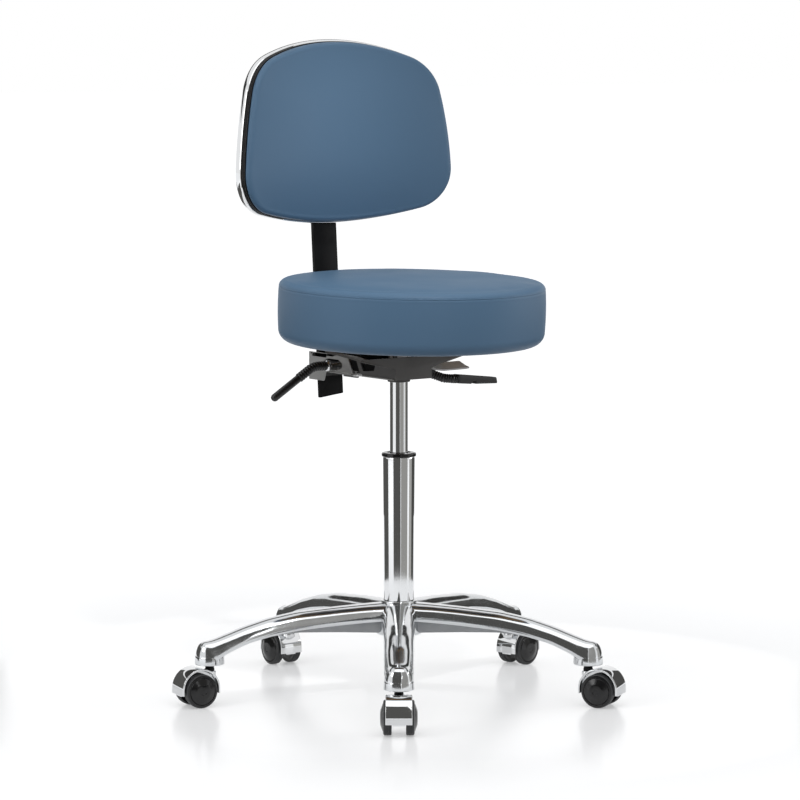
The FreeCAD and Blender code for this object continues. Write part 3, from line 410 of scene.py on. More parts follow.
def noise_value(tree, scale, detail=3.0, stretch=(1, 1, 1)):
    """Noise on the object's own coordinates, in metres, as a value socket."""
    place = tree.nodes.new("ShaderNodeTexCoord")
    mapping = tree.nodes.new("ShaderNodeMapping")
    mapping.inputs["Scale"].default_value = stretch
    noise = tree.nodes.new("ShaderNodeTexNoise")
    noise.inputs["Scale"].default_value = scale
    noise.inputs["Detail"].default_value = detail
    tree.links.new(place.outputs["Object"], mapping.inputs["Vector"])
    tree.links.new(mapping.outputs["Vector"], noise.inputs["Vector"])
    return noise.outputs["Fac"]


def spread(tree, value, low_end, high_end, start=0.3, stop=0.7):
    """Stretch a value that goes from start to stop over a range: by default the middle of a noise value."""
    remap = tree.nodes.new("ShaderNodeMapRange")
    remap.inputs["From Min"].default_value = start
    remap.inputs["From Max"].default_value = stop
    remap.inputs["To Min"].default_value = low_end
    remap.inputs["To Max"].default_value = high_end
    tree.links.new(value, remap.inputs["Value"])
    return remap.outputs["Result"]


def bump(tree, height, strength, depth, below=None):
    """Bump from a height value, laid over another bump where one is given."""
    node = tree.nodes.new("ShaderNodeBump")
    node.inputs["Strength"].default_value = strength
    node.inputs["Distance"].default_value = depth
    tree.links.new(height, node.inputs["Height"])
    if below:
        tree.links.new(below, node.inputs["Normal"])
    return node.outputs["Normal"]


def finish_material(name, colour, metal, rough, blotch, grain, shade=0.06, stretch=(1, 1, 1), specular=0.5):
    """A procedural finish.

    rough is a (low, high) roughness, blotch the scale of its wide variation, grain a (scale, strength, depth)
    of the fine bump, and shade how far the colour drifts.
    """
    material = bpy.data.materials.new(name)
    material.use_nodes = True
    tree = material.node_tree
    shader = tree.nodes["Principled BSDF"]
    shader.inputs["Metallic"].default_value = metal
    shader.inputs["Specular IOR Level"].default_value = specular
    wide = noise_value(tree, blotch, 4.0, stretch)
    tree.links.new(spread(tree, wide, *rough), shader.inputs["Roughness"])
    tint = tree.nodes.new("ShaderNodeMix")
    tint.data_type = "RGBA"
    tint.inputs["A"].default_value = (*[channel * (1 - shade) for channel in colour], 1)
    tint.inputs["B"].default_value = (*[min(1, channel * (1 + shade)) for channel in colour], 1)
    tree.links.new(noise_value(tree, blotch * 0.37), tint.inputs["Factor"])
    tree.links.new(tint.outputs["Result"], shader.inputs["Base Color"])
    fine = noise_value(tree, grain[0], 2.0, stretch)
    tree.links.new(bump(tree, fine, grain[1], grain[2]), shader.inputs["Normal"])
    return material


def vinyl_material(name, colour):
    """Coated upholstery fabric: small leather cells pressed into a satin skin with a faint colour drift."""
    material = finish_material(name, colour, 0.0, (0.44, 0.54), 9.0, (1500.0, 0.10, 0.0002), 0.035)
    tree = material.node_tree
    shader = tree.nodes["Principled BSDF"]
    shader.inputs["Specular IOR Level"].default_value = 0.26
    place = tree.nodes.new("ShaderNodeTexCoord")
    cells = tree.nodes.new("ShaderNodeTexVoronoi")
    cells.feature = "DISTANCE_TO_EDGE"
    cells.inputs["Scale"].default_value = 620.0
    tree.links.new(place.outputs["Object"], cells.inputs["Vector"])
    under = shader.inputs["Normal"].links[0].from_socket
    tree.links.new(bump(tree, cells.outputs["Distance"], 0.16, 0.0003, under), shader.inputs["Normal"])
    return material


def make_finishes(colours):
    """Every finish of the stool by name."""
    return {
        "vinyl": vinyl_material("blue vinyl", colours.vinyl),
        "chrome": finish_material("chrome", (0.75, 0.76, 0.77), 1.0, (0.03, 0.075), 30.0,
                                  (260.0, 0.02, 0.0002), 0.02),
        "polished": finish_material("polished aluminium", (0.66, 0.675, 0.69), 1.0, (0.07, 0.15), 40.0,
                                    (420.0, 0.035, 0.0003), 0.03),
        "cast": finish_material("cast grey aluminium", (0.33, 0.34, 0.35), 0.75, (0.36, 0.52), 60.0,
                                (900.0, 0.3, 0.0005), 0.08),
        "steel": finish_material("plain steel", (0.52, 0.52, 0.52), 1.0, (0.22, 0.36), 50.0,
                                 (800.0, 0.1, 0.0003)),
        "dark": finish_material("dark coated steel", colours.steel_dark, 0.0, (0.40, 0.55), 35.0,
                                (1100.0, 0.22, 0.0003), 0.12),
        "grey": finish_material("grey coated steel", colours.steel_grey, 0.2, (0.30, 0.46), 35.0,
                                (1000.0, 0.18, 0.0003), 0.10),
        "blade": finish_material("bright coated steel", (0.62, 0.62, 0.62), 0.2, (0.30, 0.46), 35.0,
                                 (1000.0, 0.18, 0.0003), 0.10),
        "plastic": finish_material("black plastic", colours.plastic, 0.0, (0.30, 0.44), 45.0,
                                   (1400.0, 0.15, 0.0002)),
        "rubber": finish_material("black rubber", colours.rubber, 0.0, (0.46, 0.62), 55.0,
                                  (1200.0, 0.25, 0.0003), specular=0.22),
        "paint": finish_material("black paint", colours.plastic, 0.0, (0.40, 0.56), 35.0,
                                 (1100.0, 0.2, 0.0003), specular=0.10),
        "boot": finish_material("ribbed boot rubber", colours.rubber, 0.0, (0.26, 0.38), 55.0,
                                (1200.0, 0.15, 0.0003)),
        "gloss": finish_material("gloss black plastic", colours.plastic, 0.0, (0.08, 0.16), 45.0,
                                 (600.0, 0.05, 0.0002)),
        "wheel": finish_material("black wheel", colours.plastic, 0.0, (0.12, 0.24), 60.0,
                                 (700.0, 0.08, 0.0002)),
        "tread": finish_material("grey tread", colours.tread, 0.0, (0.42, 0.58), 70.0, (900.0, 0.3, 0.0004),
                                 0.1),
        "wood": finish_material("plywood", (0.42, 0.27, 0.14), 0.0, (0.55, 0.7), 14.0, (300.0, 0.3, 0.0005),
                                0.25, (1, 9, 9)),
        # Near-black matte filler for the boxes behind the mechanism's windows: painted shade that makes the
        # windows read dark
        "shade_fill": finish_material("near-black painted shade filler", (0.006, 0.006, 0.006), 0.0, (0.8, 0.95), 30.0,
                                  (1600.0, 0.5, 0.0004), specular=0.1),
    }


# Filled by the finishes step, which runs first
FINISH = {}


def upright_axes(turn):
    """Axes of a caster turned about Z: rolling direction, axle direction and up."""
    return np.array([[math.cos(turn), -math.sin(turn), 0], [math.sin(turn), math.cos(turn), 0], [0, 0, 1]])


class STOOL_OT_base(bpy.types.Operator):
    """Build the five-legged polished base"""
    bl_idname = "stool.base"
    bl_label = "Star base"

    def execute(self, context):
        shapes = [self.hub()]
        for k in range(LEGS):
            stem = joint_place("caster_%d_swivel" % (k + 1))
            axes = upright_axes(math.atan2(stem[1], stem[0]))
            reach = math.hypot(stem[0], stem[1])
            shapes += [placed(self.leg(reach), axes, (0, 0, 0)), placed(self.boss(), axes, (*stem[:2], 0))]
        piece("base_casting", shapes, [FINISH["polished"], FINISH["cast"]], "base", ["star_base"],
              40)
        return {"FINISHED"}

    @staticmethod
    def hub():
        """Turned hub: flat foot, straight wall, softly domed top and a collar round the column."""
        top = high("star_base")[2]
        bore = high("column_tube")[0] - 0.0012
        outline = rounded([(bore, 0.095, 0), (0.036, 0.095, 0.003), (0.0365, top - 0.008, 0.007),
                           (0.0285, top - 0.0065, 0.002), (0.0282, top, 0.0015), (bore, top, 0)], 8)
        outline = np.concatenate([outline, outline[:1]])
        return turned(outline, 128)

    @staticmethod
    def leg(reach):
        """Leg along +X: a half-round cap over a narrower rib, as a section carried out along the leg.

        At each station the section is cap half-width times a half circle above the cap's edge, then straight
        in to the rib and round its foot; height and width follow smooth curves of the distance from the hub.
        """
        root, nose, nose_end = 0.026, 0.0215, 0.0217
        tip = reach + nose * np.sin(np.linspace(0, np.pi / 2, 14)[1:])
        along = np.concatenate([np.linspace(root, reach, 90), tip])
        bend = np.clip(along, None, reach)
        knots = np.array([0.0, 0.03, 0.10, 0.165, 0.21, 0.25, 0.283, 0.305])
        top = np.interp(bend, knots, [0.1455, 0.1452, 0.1418, 0.1372, 0.1295, 0.1182, 0.1062, 0.0985])
        foot = np.interp(bend, knots, [0.0975, 0.098, 0.1025, 0.1055, 0.1015, 0.093, 0.0775, 0.0660])
        edge = np.interp(bend, knots, [0.1215, 0.1212, 0.1180, 0.1140, 0.1070, 0.0972, 0.0830, 0.0690])
        half = np.interp(bend, [0, 0.036, 0.06, reach], [0.030, 0.0275, 0.0248, 0.0218])
        top, foot, edge, half = [smooth(row, 5) for row in (top, foot, edge, half)]
        beyond = np.clip(along - reach, 0, None) / nose_end
        close = np.sqrt(np.clip(1 - beyond ** 2, 0, 1))
        half = half * close
        top = edge + (top - edge) * np.sqrt(np.clip(1 - beyond ** 3.4, 0, 1))
        rib = np.minimum(0.0115, 0.62 * half)
        t = np.linspace(0, np.pi, 25)
        cap = np.stack([np.sign(np.cos(t)) * np.abs(np.cos(t)) ** 0.72, np.sin(t) ** 0.86], -1)
        lip = 0.0022
        rows = [np.stack([half[:, None] * cap[:, 0], edge[:, None] + (top - edge)[:, None] * cap[:, 1]], -1)]

        def corner(side, width, inset, level):
            return np.stack([side * (width - inset), level], -1)[:, None]

        nothing = np.zeros_like(half)
        steps = [(half, nothing + 0.0006, edge - 0.6 * lip), (half, np.minimum(0.002, half), edge - lip),
                 (rib, -0.002 * close, edge - lip), (rib, nothing, edge - 1.9 * lip),
                 (rib, 0.001 * close, foot + 0.004), (rib, 0.003 * close, foot + 0.001),
                 (rib, 0.006 * close, foot)]
        rows += [corner(-1, *step) for step in steps] + [corner(1, *step) for step in reversed(steps)]
        section = np.concatenate(rows, 1)
        stations = np.broadcast_to(along[:, None, None], section.shape[:2] + (1,))
        points = np.concatenate([stations, section], -1)
        ends = np.broadcast_to(points[[0, -1]].mean(1, keepdims=True), (2,) + points.shape[1:])
        points = np.concatenate([ends[:1], points, ends[1:]])
        # The cap and its lips are polished, and the rib between them stays as cast
        bands = np.zeros(section.shape[1], int)
        bands[len(cap) + 1:-2] = 1
        return surface(points, wrap_cols=True, bands=bands)

    @staticmethod
    def boss():
        """Turned socket for the caster stem at the end of a leg, domed on top and open below."""
        foot = 0.0634
        outline = rounded([(0.0056, foot, 0), (0.0228, foot, 0.0012), (0.0220, foot + 0.0130, 0.004),
                           (0.0120, foot + 0.0175, 0.004), (0.0120, 0.0900, 0.003), (0, 0.0900, 0)], 10)
        bore = np.array([(0, 0.0887), (0.0056, 0.0887), (0.0056, foot)])
        return turned(np.concatenate([bore, outline]), 64)


class STOOL_OT_column(bpy.types.Operator):
    """Build the chromed column, its guide bush and the gas cylinder"""
    bl_idname = "stool.column"
    bl_label = "Column"

    def execute(self, context):
        lo, hi = low("column_tube"), high("column_tube")
        foot, top, radius = lo[2], hi[2], hi[0]
        outline = rounded([(0, foot, 0), (0.0226, foot, 0.002), (0.0233, 0.148, 0.3),
                           (radius, top - 0.004, 0.004), (radius - 0.0006, top, 0.0012),
                           (0.0214, top, 0.0004), (0.0210, top - 0.002, 0.0004), (0.0210, foot + 0.004, 0),
                           (0, foot + 0.004, 0)], 6)
        piece("column_skin", [turned(outline, 128)], [FINISH["chrome"]], "base", ["column_tube"],
              50)
        lo, hi = low("guide_bush"), high("guide_bush")
        flange = hi[0]
        outline = rounded([(0.01405, lo[2], 0), (0.02098, lo[2], 0.001), (0.02098, top, 0),
                           (flange - 0.0004, top, 0.0004), (flange, top + 0.0012, 0.0006),
                           (flange - 0.0002, hi[2] - 0.001, 0.0012),
                           (flange - 0.0028, hi[2] - 0.0002, 0.0006), (0.0185, hi[2], 0.0005),
                           (0.0182, hi[2] - 0.001, 0.0005), (0.0152, hi[2] - 0.001, 0.0006),
                           (0.01405, hi[2] - 0.002, 0.0003)], 5)
        outline = np.concatenate([outline, outline[:1]])
        piece("bush_ring", [turned(outline, 96)], [FINISH["gloss"]], "base", ["guide_bush"],
              45)
        lo, hi = low("gas_cylinder"), high("gas_cylinder")
        outer = hi[0]
        outline = rounded([(0.0056, lo[2], 0), (outer - 0.0006, lo[2], 0.0006), (outer, lo[2] + 0.003, 0.002),
                           (outer, 0.4885, 0.002), (0.0136, 0.490, 0.001), (0.0128, hi[2] - 0.001, 0.0008),
                           (0.0120, hi[2], 0.0006), (0.0031, hi[2], 0)], 5)
        inner = np.array([(0.0031, hi[2] - 0.006), (0.0115, hi[2] - 0.006), (0.0115, lo[2] + 0.008),
                          (0.0056, lo[2] + 0.008)])
        outline = np.concatenate([outline, inner, outline[:1]])
        piece("lift_cylinder_skin", [turned(outline, 96)], [FINISH["chrome"]], "lift", ["gas_cylinder"],
              40)
        return {"FINISHED"}


class STOOL_OT_casters(bpy.types.Operator):
    """Build the five twin-wheel casters"""
    bl_idname = "stool.casters"
    bl_label = "Casters"
    trail = 0.023
    wheel_radius = 0.026
    hood_lift = 0.0022

    def execute(self, context):
        hood, stem, wheel = self.hood(), self.stem(), self.wheel()
        for k in range(1, LEGS + 1):
            body = "caster_%d" % k
            post = joint_place(body + "_swivel") * (1, 1, 0)
            side = joint_axis(body + "_left_roll")
            axle = joint_place(body + "_left_roll")
            ahead = np.cross(side, (0, 0, 1))
            ahead *= np.sign(ahead @ (axle - post))
            axes = np.stack([ahead, np.cross((0, 0, 1), ahead), (0, 0, 1)], 1)
            piece(body + "_cover", [placed(part, axes, post) for part in hood], [FINISH["chrome"]], body,
                  [body + "_hood"], 40)
            piece(body + "_neck", [placed(stem, axes, post)], [FINISH["rubber"]], body, [body + "_stem"],
                  40)
            hub = post + ahead * self.trail + (0, 0, self.wheel_radius)
            for name, sign in (("left", 1), ("right", -1)):
                out = sign * axes[:, 1]
                turn = np.stack([ahead, np.cross(out, ahead), out], 1)
                piece("%s_%s_tyre" % (body, name), [placed(wheel, turn, hub)],
                      [FINISH["wheel"], FINISH["tread"]], body + "_" + name, ["%s_wheel_%s" % (body, name)],
                      35)
        return {"FINISHED"}

    @classmethod
    def hood(cls):
        """Arched cover round the axle, half-disc web between the wheels and turned boss for the stem."""
        radius, wall, width, skirt = 0.032, 0.003, 0.040, 0.0185
        middle = radius - wall / 2
        turn = np.linspace(np.pi, 0, 49)
        down = np.linspace(skirt, cls.wheel_radius, 6)[:-1]
        arc = np.stack([middle * np.cos(turn), cls.wheel_radius + middle * np.sin(turn)], -1)
        front = np.stack([np.full(5, -middle), down], -1)
        rear = np.stack([np.full(5, middle), down[::-1]], -1)
        flat = np.concatenate([front, arc, rear])
        path = np.stack([flat[:, 0] + cls.trail, np.zeros(len(flat)), flat[:, 1] + cls.hood_lift], -1)
        w, d = width / 2, wall / 2
        band = rounded([(0, -d, 0), (w - 0.0005, -d, 0.0004), (w, d - 0.0004, 0.0026),
                        (-w, d - 0.0004, 0.0026), (-w + 0.0005, -d, 0.0004), (0, -d, 0)], 7)[:-1]
        band[:, 1] += 0.0008 * (1 - (2 * band[:, 0] / width) ** 2)
        cover = capped(path, band, (0, 1, 0))
        t = np.linspace(math.radians(-14.5), math.radians(194.5), 60)
        reach = middle * np.stack([np.cos(t), np.sin(t)], -1)
        closing = np.linspace(reach[-1], reach[0], 12)[1:-1]
        outline = np.concatenate([reach, closing]) + (cls.trail, cls.wheel_radius)
        web = slab(outline, -0.0093, 0.0093, 0.0008, upright)
        collar = turned(rounded([(0, 0.0462, 0), (0.0098, 0.0462, 0.001), (0.0098, 0.0532, 0.0012),
                                 (0, 0.0532, 0)], 5), 48)
        return [cover, web, collar]

    @classmethod
    def stem(cls):
        """Turned neck between cover and leg with two raised rings, and the pin that enters the leg."""
        foot, shoulder, tip = 0.0490, 0.0643, 0.0883
        outline = rounded([(0, foot, 0), (0.0040, foot, 0), (0.0040, 0.0500, 0), (0.0073, 0.0500, 0.0004),
                           (0.0073, 0.0572, 0.0004), (0.0066, 0.0576, 0.0003), (0.0066, 0.0594, 0.0003),
                           (0.00735, 0.0598, 0.0004), (0.00735, shoulder, 0.0004), (0.0055, shoulder, 0.0002),
                           (0.0055, tip - 0.001, 0.0005), (0.0046, tip, 0.0003), (0, tip, 0)], 4)
        return turned(outline, 48)

    @classmethod
    def wheel(cls):
        """Turned wheel: bored hub, crowned tread with two fine grooves, rim groove and domed cap."""
        inner, outer, radius = 0.0105, 0.0225, cls.wheel_radius
        face = rounded([(0, 0.0268, 0), (0.00305, 0.0268, 0), (0.00305, inner, 0.0003),
                        (0.0185, inner, 0.0006), (0.0195, inner + 0.0008, 0.0006), (0.0240, inner, 0.0006),
                        (radius - 0.0003, inner + 0.0008, 0.0014), (radius, inner + 0.0035, 0.0006),
                        (radius - 0.0007, inner + 0.0040, 0.0002), (radius, inner + 0.0045, 0.0006),
                        (radius, outer - 0.0045, 0.0006), (radius - 0.0007, outer - 0.0040, 0.0002),
                        (radius, outer - 0.0035, 0.0006), (radius - 0.0002, outer - 0.0006, 0.0016),
                        (0.0243, outer + 0.0004, 0.0006), (0.0215, outer + 0.0010, 0.0006),
                        (0.0208, outer - 0.0002, 0.0004), (0.0200, outer + 0.0014, 0.0008),
                        (0.0110, outer + 0.0048, 0.012), (0.0052, outer + 0.0052, 0.0008),
                        (0.0047, outer + 0.0046, 0.0004), (0, outer + 0.0050, 0)], 6)
        middle = (face[1:] + face[:-1]) / 2
        bands = ((middle[:, 0] > 0.0242) & (middle[:, 1] < outer + 0.0002)).astype(int)
        return turned(face, 96, bands)


def tipped(degrees):
    """Turn about X as a 3 by 3 matrix."""
    c, s = math.cos(math.radians(degrees)), math.sin(math.radians(degrees))
    return np.array([[1, 0, 0], [0, c, -s], [0, s, c]])


def tipped_about(shape, degrees, pivot):
    """A surface turned about a line along X through a pivot."""
    turn = tipped(degrees)
    return placed(shape, turn, np.asarray(pivot) - turn @ np.asarray(pivot))


def spaced(points, lengths):
    """Points at given distances along a polyline."""
    run = np.concatenate([[0], np.cumsum(np.linalg.norm(np.diff(points, axis=0), axis=1))])
    return np.stack([np.interp(lengths, run, points[:, i]) for i in range(points.shape[1])], -1)


def length_of(points):
    """Length of a polyline."""
    return np.linalg.norm(np.diff(points, axis=0), axis=1).sum()


class STOOL_OT_seat(bpy.types.Operator):
    """Build the boxed seat cushion with its sewn edge"""
    bl_idname = "stool.seat"
    bl_label = "Seat cushion"

    def execute(self, context):
        sizes = context.scene.stool_sizes
        pivot = joint_place("seat_tilt")
        corners = vertex_rows(frame["nodes"]["seat_cushion"].data, "co")
        level = (corners - pivot) @ tipped(SEAT_PITCH) + pivot
        lowest, highest = level.min(0), level.max(0)
        centre = ((lowest + highest) / 2) * (1, 1, 0)
        outline, seam = self.outline(sizes, (highest[0] - lowest[0]) / 2, lowest[2], highest[2])
        cushion = tipped_about(placed(turned(outline, 240), np.eye(3), centre), SEAT_PITCH, pivot)
        item = piece("seat_upholstery", [cushion], [FINISH["vinyl"]], "seat", ["seat_cushion"],
                     60)

        def held(points, normals):
            """The sewn edge and the underside."""
            flat = (points - pivot) @ tipped(SEAT_PITCH) + pivot
            reach = np.linalg.norm((flat - centre)[:, :2], axis=1)
            sewn = np.hypot(reach - seam[0], flat[:, 2] - seam[1]) < 0.008
            return sewn | (flat[:, 2] < lowest[2] + sizes.seat_bottom_round)

        swollen(item, held, SEAT_FILL_CAP)
        thread = rounded_ring(seam, sizes.welt, centre)
        item = piece("seat_welt", [tipped_about(thread, SEAT_PITCH, pivot)], [FINISH["vinyl"]], "seat", [])
        return {"FINISHED"}

    @staticmethod
    def outline(sizes, radius, bottom, top):
        """Radius and height of the cushion from the board recess round to the crown, pinched at the seam.

        The side is a shallow parabola, the edges quarter ellipses and the top a parabola; along its normal
        the outline is then drawn in by a narrow bell at the seam and let out a little on both sides of it.
        """
        rim_inset, side_bulge, seam_rise, bell = 0.002, 0.001, 0.0015, 0.0016
        pinch_in, pinch_out, pinch_reach, fine_reach = 0.0004, 0.0001, 0.0032, 0.006
        board_radius, recess = 0.1783, 0.0123
        rim = radius - rim_inset
        edge = top - sizes.seat_crown
        q = np.linspace(0, np.pi / 2, 20)[:, None]
        low_round = np.concatenate([rim - sizes.seat_bottom_round * (1 - np.sin(q)),
                                    bottom + sizes.seat_bottom_round * (1 - np.cos(q))], 1)
        height = np.linspace(bottom + sizes.seat_bottom_round, edge - sizes.seat_top_round, 40)
        u = np.linspace(-1, 1, 40)
        side = np.stack([rim + side_bulge * (1 - u ** 2), height], -1)
        high_round = np.concatenate([rim - sizes.seat_top_round * (1 - np.cos(q)),
                                     edge - sizes.seat_top_round * (1 - np.sin(q))], 1)
        v = np.linspace(1, 0, 50)[1:]
        crown = np.stack([(rim - sizes.seat_top_round) * v, edge + sizes.seat_crown * (1 - v ** 2)], -1)
        skin = np.concatenate([low_round, side[1:], high_round[1:], crown])
        seam_length = length_of(np.concatenate([low_round, side[1:]])) + seam_rise
        total = length_of(skin)
        steps = np.unique(np.concatenate([np.linspace(0, total, 110),
                                          seam_length + np.linspace(-fine_reach, fine_reach, 33)]))
        skin = spaced(skin, steps)
        ahead = unit(np.gradient(skin, axis=0))
        normal = np.stack([ahead[:, 1], -ahead[:, 0]], -1)
        away = steps - seam_length
        beside = np.abs(away) - pinch_reach
        pinch = -pinch_in * np.exp(-(away / bell) ** 2) + pinch_out * np.exp(-(beside / bell) ** 2)
        skin = skin + normal * pinch[:, None]
        seam = spaced(skin - normal * sizes.welt / 2, np.array([seam_length]))[0]
        skin[-1, 0] = 0
        under = np.array([(0, bottom + recess), (board_radius, bottom + recess), (board_radius, bottom)])
        return np.concatenate([under, skin]), seam


def rounded_ring(spot, radius, centre):
    """A thin round cord laid in a circle: the sewn edge's welt."""
    angle = np.linspace(0, 2 * np.pi, 240, endpoint=False)
    path = np.stack([centre[0] + spot[0] * np.cos(angle), centre[1] + spot[0] * np.sin(angle),
                     np.full(240, spot[1])], -1)
    return carried(path, circle(radius, 10), (0, 0, 1), closed=True)


def circle_through(half_chord, rise):
    """Radius of the circle whose chord has this half length and rise."""
    return (half_chord ** 2 + rise ** 2) / (2 * rise)


def arc_points(centre, start, end, count):
    """The shorter arc about a centre from one point to another."""
    a = math.atan2(start[1] - centre[1], start[0] - centre[0])
    b = math.atan2(end[1] - centre[1], end[0] - centre[0])
    b = a + (b - a + math.pi) % (2 * math.pi) - math.pi
    t = np.linspace(a, b, count)
    return centre + np.linalg.norm(np.asarray(start) - centre) * np.stack([np.cos(t), np.sin(t)], -1)


def inner_fillet(first, second, radius, toward):
    """Centre of a round inside two (centre, radius) circles, nearest a point, and where it touches them."""
    (c1, r1), (c2, r2) = first, second
    d1, d2 = r1 - radius, r2 - radius
    gap = np.linalg.norm(c2 - c1)
    along = (d1 ** 2 - d2 ** 2 + gap ** 2) / (2 * gap)
    off = math.sqrt(d1 ** 2 - along ** 2)
    line = (c2 - c1) / gap
    options = [c1 + line * along + sign * off * np.array([-line[1], line[0]]) for sign in (-1, 1)]
    centre = min(options, key=lambda spot: np.linalg.norm(spot - toward))
    return centre, c1 + (centre - c1) / d1 * r1, c2 + (centre - c2) / d2 * r2


def back_outline(count=420):
    """The backrest's outline (x, z) and outward normals, evenly spaced, anticlockwise from the bottom middle.

    Arched bottom and top, sides that lean in and bulge, and tangent rounds at the four corners.
    """
    wide, narrow, bottom, top = 0.203, 0.173, 0.725, 1.014
    bottom_arch, top_arch, bulge = 0.032, 0.041, 0.009
    low_round, high_round = 0.068, 0.082
    low_radius = circle_through(wide, bottom_arch)
    high_radius = circle_through(narrow, top_arch)
    foot = np.array([wide, bottom + bottom_arch])
    head = np.array([narrow, top - top_arch])
    chord = head - foot
    half = np.linalg.norm(chord) / 2
    out = np.array([chord[1], -chord[0]]) / (2 * half)
    swell = bulge * out[0]
    side_radius = circle_through(half, swell)
    bottom_circle = (np.array([0, bottom + low_radius]), low_radius)
    top_circle = (np.array([0, top - high_radius]), high_radius)
    side_circle = ((foot + head) / 2 + out * (swell - side_radius), side_radius)
    low_centre, low_start, low_end = inner_fillet(bottom_circle, side_circle, low_round, foot)
    high_centre, high_start, high_end = inner_fillet(side_circle, top_circle, high_round, head)
    right = np.concatenate([
        arc_points(bottom_circle[0], np.array([0, bottom]), low_start, 60),
        arc_points(low_centre, low_start, low_end, 40), arc_points(side_circle[0], low_end, high_start, 60),
        arc_points(high_centre, high_start, high_end, 40),
        arc_points(top_circle[0], high_end, np.array([0, top]), 60)])
    loop = np.concatenate([right, right[::-1] * (-1, 1)])
    loop = loop[np.concatenate([[True], np.linalg.norm(np.diff(loop, axis=0), axis=1) > 1e-7])]
    points = spaced(loop, np.linspace(0, length_of(loop), count, endpoint=False))
    ahead = unit(round_trip(points))
    return points, np.stack([ahead[:, 1], -ahead[:, 0]], -1)


def wrapped(flat, depth):
    """Points (x, z) laid on the upright cylinder behind the sitter, a depth behind its middle face."""
    reach = WRAP_RADIUS + depth
    return np.stack([flat[..., 0], WRAP_AXIS_Y + np.sqrt(reach ** 2 - flat[..., 0] ** 2), flat[..., 1]], -1)


def leaned(shape):
    """Lean a layer with the bar."""
    return tipped_about(shape, BAR_LEAN, BAR_PIVOT)


def reclined(shape):
    """Lean a backrest layer with the bar, but stood up a little about the middle of its bracket."""
    return leaned(tipped_about(shape, BACK_UPRIGHT, BACK_PIVOT))


